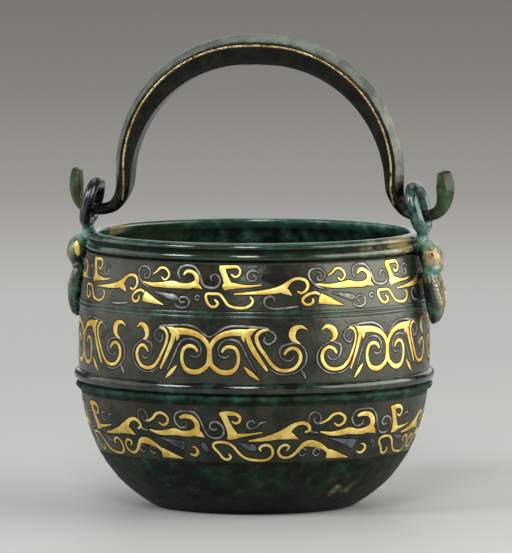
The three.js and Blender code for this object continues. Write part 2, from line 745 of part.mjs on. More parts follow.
// A stroke as a strip of gold in a band's bed, at one of its repeats.
function strip(stroke, band, figures, repeat, inset = 0) {
  const stretch = (band.top - band.foot) / figures.height;
  const middleRadius = wallRadius((band.foot + band.top) / 2);
  const spread = FIGURE_REPEATS / REPEATS;
  const line = new THREE.CatmullRomCurve3(
    stroke.map(([angle, height, width]) => {
      const along = THREE.MathUtils.degToRad(angle * spread) * middleRadius;
      return new THREE.Vector3(along, height * stretch, width * stretch);
    }),
  );
  const samples = line.getPoints(Math.round((stroke.length - 1) * SAMPLES_PER_POINT));
  const start = (repeat * 2 * Math.PI) / REPEATS;
  const at = (along, rise, deep) => {
    const height = band.foot + rise;
    const radius = stretchRadius(band, BED_STEPS, height) - (deep ? BED_DEPTH - BED_GAP - inset : inset);
    const turn = setOut(figures.uneven, start + along / middleRadius);
    return new THREE.Vector3(radius * Math.sin(turn), -radius * Math.cos(turn), height);
  };
  return skin(
    samples.map((p, i) => {
      const ahead = samples[Math.min(i + 1, samples.length - 1)];
      const behind = samples[Math.max(i - 1, 0)];
      const tangent = new THREE.Vector2(ahead.x - behind.x, ahead.y - behind.y).normalize();
      const [dx, dy] = [(-tangent.y * p.z) / 2, (tangent.x * p.z) / 2];
      return [
        at(p.x + dx, p.y + dy, false),
        at(p.x - dx, p.y - dy, false),
        at(p.x - dx, p.y - dy, true),
        at(p.x + dx, p.y + dy, true),
      ];
    }),
  );
}

// The heart of the middle band: two volutes that share one upright, and two slanting legs.
function heart(repeat) {
  return [
    [HEART_SIDE, 0],
    [mirrored(HEART_SIDE), 1],
    [HEART_LEG, 2],
    [mirrored(HEART_LEG), 2],
  ]
    .map(([stroke, level]) => strip(stroke, middleBand, FIGURES.middle, repeat, level * JOIN_INSET))
    .reduce((joined, next) => joined.add(next));
}

const pail = new THREE.Group();
pail.add(piece('bucket_body', vessel(), BRONZE));

[
  ['right', 0],
  ['left', Math.PI],
].forEach(([side, turn]) => {
  const holder = new THREE.Group();
  holder.rotation.z = turn;
  holder.add(piece(`${side}_ear`, ear(), PATINA), piece(`${side}_ear_rivet`, rivet(), PATINA));
  [
    ['a', -1],
    ['b', 1],
  ].forEach(([letter, face]) => {
    const plug = eye(face, EYE_DIAMETER, eyeFace - EYE_DEPTH, eyeFace);
    holder.add(piece(`${side}_ear_eye_${letter}`, plug, GOLD));
  });
  pail.add(holder);
});

const swing = new THREE.Group();
swing.position.set(BAIL_SHIFT, 0, axisHeight);
swing.add(piece('bail_handle', bail(), DARK_BAR));
[
  ['front', -1],
  ['back', 1],
].forEach(([face, side]) => {
  swing.add(piece(`bail_gold_line_${face}`, faceLine(side, 0, LINE_DEPTH, 0), GOLD));
});
pail.add(swing);

for (let repeat = 0; repeat < REPEATS; repeat++) {
  const number = repeat + 1;
  const lay = (name, stroke, band, figures) => {
    pail.add(piece(`${name}_${number}`, strip(stroke, band, figures, repeat), GOLD));
  };
  pail.add(piece(`gold_heart_${number}`, heart(repeat), GOLD));
  lay('gold_side_scroll_left', SIDE_SCROLL, middleBand, FIGURES.middle);
  lay('gold_side_scroll_right', mirrored(SIDE_SCROLL), middleBand, FIGURES.middle);
  lay('gold_upper_hook', UPPER_HOOK, upperBand, FIGURES.upper);
  lay('gold_upper_crest', UPPER_CREST, upperBand, FIGURES.upper);
  lay('gold_lower_hook', LOWER_HOOK, lowerBand, FIGURES.lower);
  lay('gold_lower_crest', LOWER_CREST, lowerBand, FIGURES.lower);
}

export default pail;
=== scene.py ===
# %% [markdown]
# # A small bronze pail, inlaid with gold and silver
#
# The real pail is a cast vessel with a hoop round its belly, two cast ears in the shape of a
# cicada, and a bail whose hooked ends hang in the rings of the ears. Scrolls of gold and silver
# are let into its wall. The construction model already holds every piece at its real size, so
# this script loads it as a fixed frame and dresses it: a finely turned vessel, ears and bail with
# their small forms, bevelled inlay and aged metal.

# %% The frame
import math

import bmesh
import bpy
import numpy as np
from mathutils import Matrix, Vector


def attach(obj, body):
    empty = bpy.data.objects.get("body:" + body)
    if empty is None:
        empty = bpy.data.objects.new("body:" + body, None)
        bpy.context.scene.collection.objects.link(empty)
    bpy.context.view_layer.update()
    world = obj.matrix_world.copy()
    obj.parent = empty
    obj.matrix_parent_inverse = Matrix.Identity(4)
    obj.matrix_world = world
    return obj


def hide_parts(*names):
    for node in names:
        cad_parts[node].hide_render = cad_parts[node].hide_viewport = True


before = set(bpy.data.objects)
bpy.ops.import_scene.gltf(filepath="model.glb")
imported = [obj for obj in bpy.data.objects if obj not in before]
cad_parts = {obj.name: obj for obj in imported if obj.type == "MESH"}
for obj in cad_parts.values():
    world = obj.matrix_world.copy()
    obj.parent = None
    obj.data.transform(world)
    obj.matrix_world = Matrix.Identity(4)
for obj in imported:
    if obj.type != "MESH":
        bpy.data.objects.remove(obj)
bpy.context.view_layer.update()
print("nodes", len(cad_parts))

# %% [markdown]
# ## Sizes
#
# All lengths here are millimetres, and MM turns them into metres where Blender takes them. A
# moulding, a line or a band is given by the heights where it begins and ends.

# %% The vessel's sizes
MM = 0.001
FLOOR = 3.2
WALL = 2.6
LIP = 113.5
LOWER_BAND = (24.0, 47.5)
UNDER_HOOP = (48.9, 51.6)
HOOP = (52.1, 56.9)
MIDDLE_BAND = (56.9, 82.9)
RAISED_LINES = ((83.1, 84.55), (84.85, 86.3))
UPPER_BAND = (86.5, 105.5)
BEAD = (106.7, 109.4)
RIM = (110.3, 113.05)
RIM_BEAD = (111.0, 113.05)
REPEATS = 6
print("lip at", LIP, "mm, wall", WALL, "mm thick")

# %% [markdown]
# The wall's outline is one smooth line through ten points. A Bezier curve could be drawn by hand,
# but the same line also has to tell how far out the wall is at any height, for the bands, the beads
# and the ears. So it is a spline in the script. It keeps the bends round between the points, where
# straight stretches would show as rings of light on polished metal.

# %% The wall's outline
# Height and radius of points of the outer wall, from the foot to the lip.
WALL_POINTS = [
    (0, 41), (5.28, 49.25), (12.96, 57.5), (24, 64.9), (35.75, 69.3),
    (52.1, 72.2), (69.9, 72.6), (82.9, 72.2), (105.5, 69.2), (113.5, 67.4),
]


def spline(points, steps, even=True):
    """Points of a smooth line through the given ones, with that many steps between each two.

    Even is for points at about even distances. The other way keeps to the points where their
    distances differ a lot.
    """
    points = np.asarray(points, float)
    if even:
        padded = np.vstack([points[:1], points, points[-1:]])
    else:
        padded = np.vstack([2 * points[0] - points[1], points, 2 * points[-1] - points[-2]])
    out = []
    for i in range(len(points) - 1):
        p0, p1, p2, p3 = padded[i : i + 4]
        if even:
            t1, t2 = (p2 - p0) / 2, (p3 - p1) / 2
        else:
            pairs = ((p0, p1), (p1, p2), (p2, p3))
            d0, d1, d2 = (max(np.linalg.norm(b - a) ** 0.5, 1e-4) for a, b in pairs)
            t1 = ((p1 - p0) / d0 - (p2 - p0) / (d0 + d1) + (p2 - p1) / d1) * d1
            t2 = ((p2 - p1) / d1 - (p3 - p1) / (d1 + d2) + (p3 - p2) / d2) * d1
        t = np.linspace(0, 1, steps, endpoint=False)[:, None]
        cubic = (2 * t**3 - 3 * t**2 + 1) * p1 + (t**3 - 2 * t**2 + t) * t1
        out.append(cubic + (3 * t**2 - 2 * t**3) * p2 + (t**3 - t**2) * t2)
    return np.vstack([*out, points[-1:]])


wall_line = spline(WALL_POINTS, 60)


def wall(height):
    """Radius of the outer wall at a height."""
    return np.interp(height, wall_line[:, 0], wall_line[:, 1])


print("widest wall", round(wall_line[:, 1].max(), 2), "mm from the axis")

# %% [markdown]
# Three bands carry the inlay. The old smith set the figures out by eye, so they are not quite even,
# and each band keeps how far its figures lie off: an angle round the wall, 0 in front, and the
# degrees that the figures there are off their even place.

# %% The three bands
UNEVEN_LOWER = [
    (-180, 0), (28, 0), (37, 0.7), (45, 1.5), (52, 2.2), (56, 3), (66, 3.5), (75, 3), (95, 0), (180, 0),
]
UNEVEN_MIDDLE = [
    (-180, 0), (-60, 0), (-46.4, -2.6), (-42, -2.3), (-33, -1.5), (-27, 0.4), (-13, 0), (13.5, 0),
    (17.3, 1.3), (27, 2.4), (33, 3.8), (37, 4.2), (42.7, 4.6), (48, 3.2), (60, 3), (73, 2), (95, 0), (180, 0),
]
UNEVEN_UPPER = [
    (-180, 0), (-80, 0), (-58, 1.5), (-50, 1.5), (-40, 0.5), (-30, 0), (30, 0), (34.5, 1), (40, 1.6),
    (50, 1), (56, 1), (64, 2), (72, 2), (95, 0), (180, 0),
]


class Band:
    """An inlaid band of the wall. Its outline is the parabola through its foot, middle and top."""

    def __init__(self, foot, top, uneven):
        self.foot, self.height, self.uneven = foot, top - foot, uneven
        low, self.middle, high = wall(foot), wall((foot + top) / 2), wall(top)
        self.start = low
        self.slope = (4 * self.middle - 3 * low - high) / self.height
        self.bend = 2 * (low + high - 2 * self.middle) / self.height**2

    def radius(self, height):
        rise = height - self.foot
        return self.start + rise * (self.slope + rise * self.bend)


lower_band = Band(*LOWER_BAND, UNEVEN_LOWER)
middle_band = Band(*MIDDLE_BAND, UNEVEN_MIDDLE)
upper_band = Band(*UPPER_BAND, UNEVEN_UPPER)
bands = {"lower": lower_band, "middle": middle_band, "upper": upper_band}
print("radii at mid-height", {label: round(float(band.middle), 2) for label, band in bands.items()})

# %% [markdown]
# ## Small helpers
#
# A node tree reads best when each node is one line of code. This helper adds a node, sets what is
# constant on it, and plugs the outputs of earlier nodes into its inputs. It serves both Geometry
# Nodes and materials.

# %% Nodes in one line


def node(tree, kind, inputs=None, out=0, **settings):
    """Adds a node, fills its inputs with values or with other nodes' outputs, and gives an output."""
    made = tree.nodes.new(kind)
    for key, value in settings.items():
        setattr(made, key, value)
    for key, value in (inputs or {}).items():
        if isinstance(value, bpy.types.NodeSocket):
            tree.links.new(value, made.inputs[key])
        else:
            made.inputs[key].default_value = value
    return made.outputs[out]


def math_node(tree, operation, *values):
    return node(tree, "ShaderNodeMath", dict(enumerate(values)), operation=operation)


print("helpers for nodes: node, math_node")

# %% [markdown]
# Most pieces here are lofts: rings of points along a line, and a skin over them. That gives a
# piece a section that changes along its way, which a curve with a bevel object can't do. Points
# are kept as plain numbers until the last moment, because that is quick and always gives the same
# mesh.

# %% Skins and meshes


def mix(first, last, share):
    return first + (last - first) * share


def add_object(name, data):
    """Puts a mesh, a lamp or a camera into the scene, at the origin."""
    made = bpy.data.objects.new(name, data)
    bpy.context.scene.collection.objects.link(made)
    return made


def shade(mesh, smooth_below):
    """Turns the faces outwards and shades them smooth, but for edges sharper than that many degrees."""
    shape = bmesh.new()
    shape.from_mesh(mesh)
    bmesh.ops.recalc_face_normals(shape, faces=shape.faces)
    shape.to_mesh(mesh)
    shape.free()
    mesh.shade_smooth()
    mesh.set_sharp_from_angle(angle=math.radians(smooth_below))


def add_mesh(name, points, faces, smooth_below=35):
    """A piece from points in millimetres, at the origin."""
    mesh = bpy.data.meshes.new(name)
    mesh.from_pydata((np.asarray(points, float) * MM).tolist(), [], [tuple(f) for f in faces])
    shade(mesh, smooth_below)
    return add_object(name, mesh)


def skin(rings, closed=False):
    """Points and faces of a skin through rings of points. Open ends get a middle point each."""
    rings = np.asarray(rings, float)
    count, sides = rings.shape[:2]
    points = rings.reshape(-1, 3)
    spans = count if closed else count - 1
    row, column = np.meshgrid(np.arange(spans), np.arange(sides), indexing="ij")
    ahead, beside = (row + 1) % count * sides, (column + 1) % sides
    row = row * sides
    quads = np.stack([row + column, row + beside, ahead + beside, ahead + column], -1)
    faces = quads.reshape(-1, 4).tolist()
    if not closed:
        for ring, turn in ((0, -1), (count - 1, 1)):
            points = np.vstack([points, rings[ring].mean(0)])
            edge = [ring * sides + i for i in range(sides)][::turn]
            faces += [(a, b, len(points) - 1) for a, b in zip(edge, edge[1:] + edge[:1])]
    return points, faces


def joined(skins):
    """Several skins as one list of points and one of faces. Each skin starts counting at 0."""
    points, faces, start = [], [], 0
    for own_points, own_faces in skins:
        points.append(own_points)
        faces += [tuple(i + start for i in face) for face in own_faces]
        start += len(own_points)
    return np.vstack(points), faces


def store(piece, name, values):
    """Keeps one number for each point of a piece, for its material to read."""
    attribute = piece.data.attributes.new(name, "FLOAT", "POINT")
    attribute.data.foreach_set("value", np.asarray(values, np.float32))


def read(items, name, width=1, kind=float):
    """One number, or a row of them, from each point, face or corner of a mesh."""
    values = np.zeros(len(items) * width, kind)
    items.foreach_get(name, values)
    return values.reshape(-1, width) if width > 1 else values


plate_points, plate_faces = skin([[(0, 0, h), (1, 0, h), (1, 1, h), (0, 1, h)] for h in (0, 1)])
print("a skin over two squares has", len(plate_points), "points and", len(plate_faces), "faces")

# %% [markdown]
# A Geometry Nodes tree is added as a modifier, its inputs are set, and its result is then kept as
# a plain mesh.

# %% Geometry Nodes trees


def made_mesh(piece):
    """The piece with its modifiers' result as a plain mesh, and no modifier left."""
    graph = bpy.context.evaluated_depsgraph_get()
    result = piece.evaluated_get(graph)
    mesh = bpy.data.meshes.new_from_object(result, preserve_all_data_layers=True, depsgraph=graph)
    name = piece.name
    bpy.data.objects.remove(piece)
    mesh.name = name
    return add_object(name, mesh)


def set_inputs(modifier, **values):
    """Sets a Geometry Nodes modifier's inputs by their identifiers, found by their plain names."""
    for socket in modifier.node_group.interface.items_tree:
        key = socket.name.replace(" ", "_").lower()
        if socket.in_out == "INPUT" and key in values:
            modifier[socket.identifier] = values[key]


def new_tree(name, sockets):
    """A Geometry Nodes tree with a geometry in and out, and the named inputs."""
    tree = bpy.data.node_groups.new(name, "GeometryNodeTree")
    tree.interface.new_socket("Geometry", in_out="INPUT", socket_type="NodeSocketGeometry")
    for label, kind in sockets:
        tree.interface.new_socket(label, in_out="INPUT", socket_type=f"NodeSocket{kind}")
    tree.interface.new_socket("Geometry", in_out="OUTPUT", socket_type="NodeSocketGeometry")
    inputs = tree.nodes.new("NodeGroupInput")
    return tree, {socket.name: socket for socket in inputs.outputs}


def end_tree(tree, geometry, material):
    """Ends a tree the way each one here ends: real geometry, with its material."""
    real = node(tree, "GeometryNodeRealizeInstances", {0: geometry})
    dressed = node(tree, "GeometryNodeSetMaterial", {"Geometry": real, "Material": material})
    tree.links.new(dressed, tree.nodes.new("NodeGroupOutput").inputs[0])


print("helpers for trees: made_mesh, set_inputs, new_tree, end_tree")

# %% [markdown]
# ## The metals
#
# Old bronze is not one colour. Its polished ground is nearly black, and it turns green where
# damp sat: under the lip and all over the bowl. The grooves beside the beads are left without
# green, near black, as painted shade. So each piece carries numbers for every point, such as its
# share of green, and the material breaks the border between dark and green with noise. Pits and
# scratches go into a bump, which costs no faces. All patterns use Object coordinates, so they stay
# on the metal when the bail swings.

# %% Parts that the metals share


def new_metal(name, base, metallic, roughness, ior=1.5, coat=0.0):
    """A material with one Principled shader. What is the same all over is set on its sockets."""
    material = bpy.data.materials.new(name)
    material.use_nodes = True
    tree = material.node_tree
    shader = tree.nodes["Principled BSDF"]
    shader.inputs["Base Color"].default_value = (*base, 1)
    shader.inputs["Metallic"].default_value = metallic
    shader.inputs["Roughness"].default_value = roughness
    shader.inputs["IOR"].default_value = ior
    shader.inputs["Coat Weight"].default_value = coat
    shader.inputs["Coat Roughness"].default_value = 0.2
    place = node(tree, "ShaderNodeTexCoord", out="Object")
    return material, tree, shader, place


def speckle(tree, place, size, detail=4.0, roughness=0.6, out="Fac"):
    """Noise with lumps about that many millimetres across."""
    values = {"Vector": place, "Scale": 1 / (size * MM), "Detail": detail, "Roughness": roughness}
    return node(tree, "ShaderNodeTexNoise", values, out=out)


def between(tree, value, low, high, first=0.0, last=1.0):
    """A soft step: first below low, last above high."""
    values = {0: value, 1: low, 2: high, 3: first, 4: last}
    return node(tree, "ShaderNodeMapRange", values, interpolation_type="SMOOTHSTEP")


def tint(tree, share, first, last):
    """A colour that goes from the first to the last as the share goes from 0 to 1."""
    values = {0: share}
    for index, colour in ((6, first), (7, last)):
        values[index] = colour if isinstance(colour, bpy.types.NodeSocket) else (*colour, 1)
    return node(tree, "ShaderNodeMix", values, out=2, data_type="RGBA")


def stored(tree, name):
    return node(tree, "ShaderNodeAttribute", out="Fac", attribute_name=name)


def broken_up(tree, value, noise, amount):
    """A value made uneven by noise, by up to half that amount either way."""
    return math_node(tree, "MULTIPLY_ADD", math_node(tree, "SUBTRACT", noise, 0.5), amount, value)


def coloured(tree, shader, colour, rough):
    """Plugs a colour and a roughness into the shader."""
    tree.links.new(colour, shader.inputs["Base Color"])
    tree.links.new(rough, shader.inputs["Roughness"])


def bump(tree, shader, height, depth, strength=1.0):
    """Small relief from a height, depth being millimetres of metal."""
    values = {"Strength": strength, "Distance": depth * MM, "Height": height}
    tree.links.new(node(tree, "ShaderNodeBump", values), shader.inputs["Normal"])


print("helpers for metals: new_metal, speckle, between, tint, stored, broken_up, coloured, bump")

# %% [markdown]
# The vessel's bronze is built up as the real one was: a nearly black ground with brown and green
# in it, then dark green and teal where the piece says so, then moss, and a tan crust on top. One
# picture of an old surface would be quicker, but it would repeat and show its seam. The hoop, the
# beads and the two upper bands kept their polish, the lower band is worn, and all else is corroded,
# so the same metal is made three times, each with its own strength of mirror.

# %% The vessel's bronze
BLACK_BRONZE = (0.004, 0.0045, 0.0035)
BROWN_BRONZE = (0.026, 0.02, 0.011)
# The corroded brown is darker than the polished one, and at the foot it carries painted shade.
CORRODED_BROWN_AND_FOOT_SHADE = (0.007, 0.0065, 0.004)
GREEN_BRONZE = (0.009, 0.021, 0.013)
DARK_GREEN = (0.003, 0.007, 0.004)
TEAL = (0.022, 0.075, 0.052)
PALE_TEAL = (0.11, 0.23, 0.17)
MOSS = (0.013, 0.022, 0.007)
TAN_CRUST = (0.3, 0.24, 0.12)


def vessel_bronze(name, shine, brown):
    """Bronze that reads its finish from the piece. Shine is how strongly it mirrors."""
    material, tree, shader, place = new_metal(name, BLACK_BRONZE, 0.0, 0.2, ior=1.6)
    shader.inputs["Specular Tint"].default_value = (0.94, 1.0, 0.88, 1)
    shader.inputs["Specular IOR Level"].default_value = shine
    broad = speckle(tree, place, 26, detail=3)
    patches = speckle(tree, place, 10, detail=5, roughness=0.55)
    blotches = speckle(tree, place, 4.5, detail=5, roughness=0.6)
    grain = speckle(tree, place, 1.6, detail=5, roughness=0.6)
    ground = tint(tree, between(tree, patches, 0.42, 0.62), BLACK_BRONZE, brown)
    ground = tint(tree, between(tree, blotches, 0.48, 0.66), ground, GREEN_BRONZE)
    greened = broken_up(tree, stored(tree, "green"), patches, 1.4)
    greened = between(tree, broken_up(tree, greened, blotches, 1.2), 0.2, 0.85)
    pale = broken_up(tree, stored(tree, "pale"), patches, 1.2)
    pale = broken_up(tree, pale, blotches, 1.6)
    green = tint(tree, between(tree, pale, -0.1, 0.75), DARK_GREEN, TEAL)
    green = tint(tree, between(tree, pale, 0.65, 1.3), green, PALE_TEAL)
    moss = math_node(tree, "MULTIPLY", between(tree, broad, 0.46, 0.62), 0.75)
    green = tint(tree, moss, green, MOSS)
    crust = broken_up(tree, stored(tree, "crust"), patches, 1.2)
    crust = broken_up(tree, crust, blotches, 1.2)
    crust = math_node(tree, "MULTIPLY", between(tree, crust, 0.3, 0.9), 0.8)
    colour = tint(tree, crust, tint(tree, greened, ground, green), TAN_CRUST)
    rough = math_node(tree, "MULTIPLY_ADD", stored(tree, "rough"), 0.4, 0.03)
    coloured(tree, shader, colour, math_node(tree, "MULTIPLY_ADD", blotches, 0.14, rough))
    depth = math_node(tree, "MULTIPLY_ADD", stored(tree, "rough"), 0.7, 0.14)
    pits = math_node(tree, "MULTIPLY", blotches, 1.5)
    relief = math_node(tree, "ADD", pits, math_node(tree, "MULTIPLY", grain, 0.5))
    bump(tree, shader, math_node(tree, "MULTIPLY", relief, depth), 0.3)
    return material


BRONZE = vessel_bronze("polished_bronze", 0.5, BROWN_BRONZE)
CORRODED = vessel_bronze("corroded_bronze", 0.08, CORRODED_BROWN_AND_FOOT_SHADE)
WORN = vessel_bronze("worn_bronze", 0.24, BROWN_BRONZE)
print("bronze of the vessel:", [metal.name for metal in (BRONZE, CORRODED, WORN)])

# %% [markdown]
# Gold and silver are true metals for the shader, so their colour is the colour of what they
# mirror. Beaten metal is never quite one tone: a deep and a pale one lie in soft clouds, and specks
# of tarnish dull it. The gold of the bail and the ears is rubbed thin and browner.

# %% Gold, silver, and the black in the channels
GOLD_DEEP = (0.7, 0.45, 0.09)
GOLD_PALE = (0.92, 0.74, 0.25)
RUBBED_DEEP = (0.36, 0.23, 0.08)
RUBBED_PALE = (0.7, 0.54, 0.26)
SILVER_DARK = (0.12, 0.115, 0.105)
SILVER_PALE = (0.34, 0.33, 0.31)
SHEET_DARK = (0.03, 0.034, 0.042)
SHEET_PALE = (0.13, 0.145, 0.175)


def inlay_metal(name, deep, pale, metallic, roughness, tarnish, tarnished):
    """Soft metal, beaten in and rubbed smooth, with specks of tarnish."""
    material, tree, shader, place = new_metal(name, pale, metallic, roughness)
    cloud = speckle(tree, place, 7, detail=3)
    speck = speckle(tree, place, 0.9, detail=4)
    colour = tint(tree, between(tree, cloud, 0.38, 0.62), deep, pale)
    dull = between(tree, speck, tarnished, tarnished + 0.12)
    colour = tint(tree, dull, colour, tarnish)
    rough = math_node(tree, "MULTIPLY_ADD", speck, 0.25, roughness - 0.12)
    coloured(tree, shader, colour, math_node(tree, "MULTIPLY_ADD", dull, 0.3, rough))
    bump(tree, shader, speck, 0.05)
    return material


def channel_black():
    material, tree, shader, place = new_metal("channel_black", (0.006, 0.006, 0.006), 0.0, 0.6)
    shader.inputs["Specular IOR Level"].default_value = 0.15
    grain = speckle(tree, place, 1.2)
    colour = tint(tree, grain, (0.002, 0.002, 0.002), (0.008, 0.008, 0.007))
    tree.links.new(colour, shader.inputs["Base Color"])
    bump(tree, shader, grain, 0.08)
    return material


GOLD = inlay_metal("beaten_gold", GOLD_DEEP, GOLD_PALE, 1.0, 0.46, (0.2, 0.12, 0.03), 0.68)
RUBBED_GOLD = inlay_metal("rubbed_gold", RUBBED_DEEP, RUBBED_PALE, 1.0, 0.5, (0.06, 0.05, 0.025), 0.5)
SILVER = inlay_metal("tarnished_silver", SILVER_DARK, SILVER_PALE, 1.0, 0.45, (0.05, 0.05, 0.048), 0.58)
SHEET_SILVER = inlay_metal("dull_silver_sheet", SHEET_DARK, SHEET_PALE, 0.8, 0.5, (0.02, 0.02, 0.022), 0.56)
BLACK = channel_black()
print("inlay:", [metal.name for metal in (GOLD, RUBBED_GOLD, SILVER, SHEET_SILVER, BLACK)])

# %% [markdown]
# Ears, rings and bail were handled, so they are not like the wall. The ears are green, and rubbed
# to a brassy tan where a hand touched them. One ring is teal and the other black. The bail is black
# on its flat sides, chalky and pale along its gable, where the paleness is partly painted light from
# above, and green on the leaves at its ends.

# %% The ears' and the bail's bronze
EAR_GREEN, EAR_PALE = (0.035, 0.12, 0.085), (0.15, 0.27, 0.2)
RUBBED_TAN = (0.36, 0.28, 0.14)
BAIL_BLACK, BAIL_GREEN = (0.003, 0.003, 0.0023), (0.009, 0.01, 0.005)
# Tones of the gable: chalky patina, made paler as painted light on the gable, which faces up at the crown.
CHALK_SHEEN_DARK, CHALK_SHEEN_PALE, CHALK_SHEEN_SPECK = (0.085, 0.1, 0.08), (0.15, 0.17, 0.138), (0.06, 0.075, 0.058)
LEAF_BROWN, LEAF_GREEN, LEAF_SPECK = (0.035, 0.032, 0.009), (0.035, 0.085, 0.034), (0.09, 0.115, 0.065)


def ear_bronze(name, dark_a, dark_b, least_rough, more_rough):
    """Bronze of the ears and rings: two dark tones, teal where it is green, tan where it is rubbed."""
    material, tree, shader, place = new_metal(name, DARK_GREEN, 0.0, 0.3, ior=1.7)
    patches = speckle(tree, place, 5, detail=5)
    grain = speckle(tree, place, 1.1, detail=5)
    dark = tint(tree, between(tree, patches, 0.42, 0.62), dark_a, dark_b)
    green = broken_up(tree, stored(tree, "green"), patches, 1.8)
    green = broken_up(tree, green, grain, 0.8)
    colour = tint(tree, between(tree, green, 0.3, 0.8), dark, EAR_GREEN)
    colour = tint(tree, between(tree, green, 0.8, 1.2), colour, EAR_PALE)
    tan = math_node(tree, "MULTIPLY", stored(tree, "gilt"), between(tree, patches, 0.4, 0.6, 0.25, 0.95))
    rough = math_node(tree, "MULTIPLY_ADD", grain, more_rough, least_rough)
    coloured(tree, shader, tint(tree, tan, colour, RUBBED_TAN), rough)
    bump(tree, shader, grain, 0.4 * more_rough)
    return material


def bail_bronze():
    material, tree, shader, place = new_metal("bail_bronze", BLACK_BRONZE, 0.0, 0.3)
    shader.inputs["Specular IOR Level"].default_value = 0.25
    patches = speckle(tree, place, 6, detail=5)
    grain = speckle(tree, place, 1.2, detail=5)
    dark = tint(tree, between(tree, patches, 0.42, 0.66), BAIL_BLACK, BAIL_GREEN)
    # The gable is paler than the flat sides, partly chalk and partly painted light from above.
    chalk_sheen = tint(tree, between(tree, patches, 0.36, 0.64), CHALK_SHEEN_DARK, CHALK_SHEEN_PALE)
    chalk_sheen = tint(tree, between(tree, grain, 0.5, 0.72, 0.0, 0.4), chalk_sheen, CHALK_SHEEN_SPECK)
    chalk_sheen_share = broken_up(tree, stored(tree, "green"), patches, 1.1)
    colour = tint(tree, between(tree, chalk_sheen_share, 0.35, 0.7), dark, chalk_sheen)
    leaf = tint(tree, between(tree, patches, 0.4, 0.6), LEAF_BROWN, LEAF_GREEN)
    leaf = tint(tree, between(tree, grain, 0.54, 0.74), leaf, LEAF_SPECK)
    colour = tint(tree, stored(tree, "leaf"), colour, leaf)
    coloured(tree, shader, colour, math_node(tree, "MULTIPLY_ADD", grain, 0.3, 0.1))
    bump(tree, shader, grain, 0.14)
    return material


EAR_BRONZE = ear_bronze("ear_bronze", (0.004, 0.007, 0.005), (0.008, 0.03, 0.023), 0.08, 0.4)
RING_TEAL = ear_bronze("ring_teal", (0.004, 0.014, 0.011), (0.007, 0.045, 0.038), 0.12, 0.2)
RING_BLACK = ear_bronze("ring_black", (0.003, 0.004, 0.0035), (0.005, 0.012, 0.01), 0.12, 0.2)
BAIL_BRONZE = bail_bronze()
print("bronze of ears and bail:", [metal.name for metal in (EAR_BRONZE, RING_TEAL, RING_BLACK, BAIL_BRONZE)])

# %% [markdown]
# ## The vessel
#
# The vessel was finished by turning, so its shape follows a rule: one outline, carried round the
# axis. The outline runs from the middle of the foot up the wall, over the lip and down to the
# middle of the floor. Each of its points also says what its metal is like: how green, how lumpy
# with corrosion, how pale its green is, and how rough. At the foot, in the grooves and on the
# rounded lip, these numbers also carry painted shade and a painted highlight.

# %% The outline of the vessel
FINISH_NAMES = ("green", "lump", "pale", "rough")


def spots(places, green, lump, pale=0.0, rough=1.0):
    """Points of the outline, each given by its radius and height, with the finish that they have."""
    return [(radius, height, green, lump, pale, rough) for radius, height in places]


def stretch(low, high, steps, *finish, radius=wall, **more):
    """A plain stretch of the outline."""
    heights = np.linspace(low, high, steps, endpoint=False)
    return spots([(radius(height), height) for height in heights], *finish, **more)


def moulding(low, high, out, steps, *finish, **more):
    """A half-round that stands out of the wall."""
    turns = np.linspace(0, math.pi, steps + 1)
    heights = (low + high) / 2 - np.cos(turns) * (high - low) / 2
    return spots(zip(wall(heights) + out * np.sin(turns), heights), *finish, **more)


def groove(under, low, high):
    """The floor of a groove beside a bead, without green, so its near-black ground is painted shade in the
    groove.
    """
    return spots([(wall(under) - GROOVE, low), (wall(under) - GROOVE, high)], 0.0, 0.02)


def inner_wall(height):
    return wall(height) - WALL


FOOT_TOP = 9.0
BOWL_EDGE = LOWER_BAND[0] - 1.2
GROOVE = 1.1
HOOP_OUT, UNDER_HOOP_OUT, LINE_OUT, BEAD_OUT = 2.1, 1.7, 0.42, 0.75
# Radius and height, over the rounded lip and down to where the plain inner wall begins.
ROUNDED_LIP = [
    (67.1, 113.3), (66.7, 113.46), (66.2, 113.5), (65.6, 113.5), (65.0, 113.4),
    (64.6, 113.1), (64.35, 112.6), (64.3, 112.1), (64.4, 111.6), (64.7, 111.2),
]
INSIDE_FOOT = FLOOR * 1.4
FLOOR_EDGE = [(44.4, 3.75), (42.4, 3.35), (40, FLOOR), (20, FLOOR)]

# In each line: where it runs, its steps, and then how green and how lumpy it is.
outline = spots([(0, 0), (22, 0), (39.6, 0), (40.8, 0.15)], 0.6, 0)
# The foot is less green, and its green is darker: painted shade where the foot turns in to the floor.
outline += stretch(0.5, FOOT_TOP, 16, 0.35, 0.3, pale=-0.4)
outline += stretch(FOOT_TOP, BOWL_EDGE, 30, 0.6, 0.3)
outline += stretch(BOWL_EDGE, LOWER_BAND[0], 3, 0.3, 0.1)
outline += stretch(*LOWER_BAND, 40, 0.0, 0.02, radius=lower_band.radius, rough=0.5)
outline += stretch(LOWER_BAND[1], UNDER_HOOP[0], 2, 0.5, 0.05)
outline += moulding(*UNDER_HOOP, UNDER_HOOP_OUT, 16, 0.85, 0.55, pale=0.25)
outline += stretch(UNDER_HOOP[1], HOOP[0], 2, 0.3, 0.03)
outline += moulding(*HOOP, HOOP_OUT, 20, 0.36, 0.05, pale=0.45, rough=0.08)
outline += stretch(*MIDDLE_BAND, 44, 0.0, 0.02, radius=middle_band.radius, rough=0.35)
for low, high in RAISED_LINES:
    outline += moulding(low, high, LINE_OUT, 7, 0.55, 0.04, pale=0.3, rough=0.3)
outline += stretch(*UPPER_BAND, 34, 0.02, 0.02, radius=upper_band.radius, rough=0.35)
outline += stretch(UPPER_BAND[1], BEAD[0] - 0.8, 2, 0.3, 0.02)
outline += groove(BEAD[0], BEAD[0] - 0.9, BEAD[0] - 0.15)
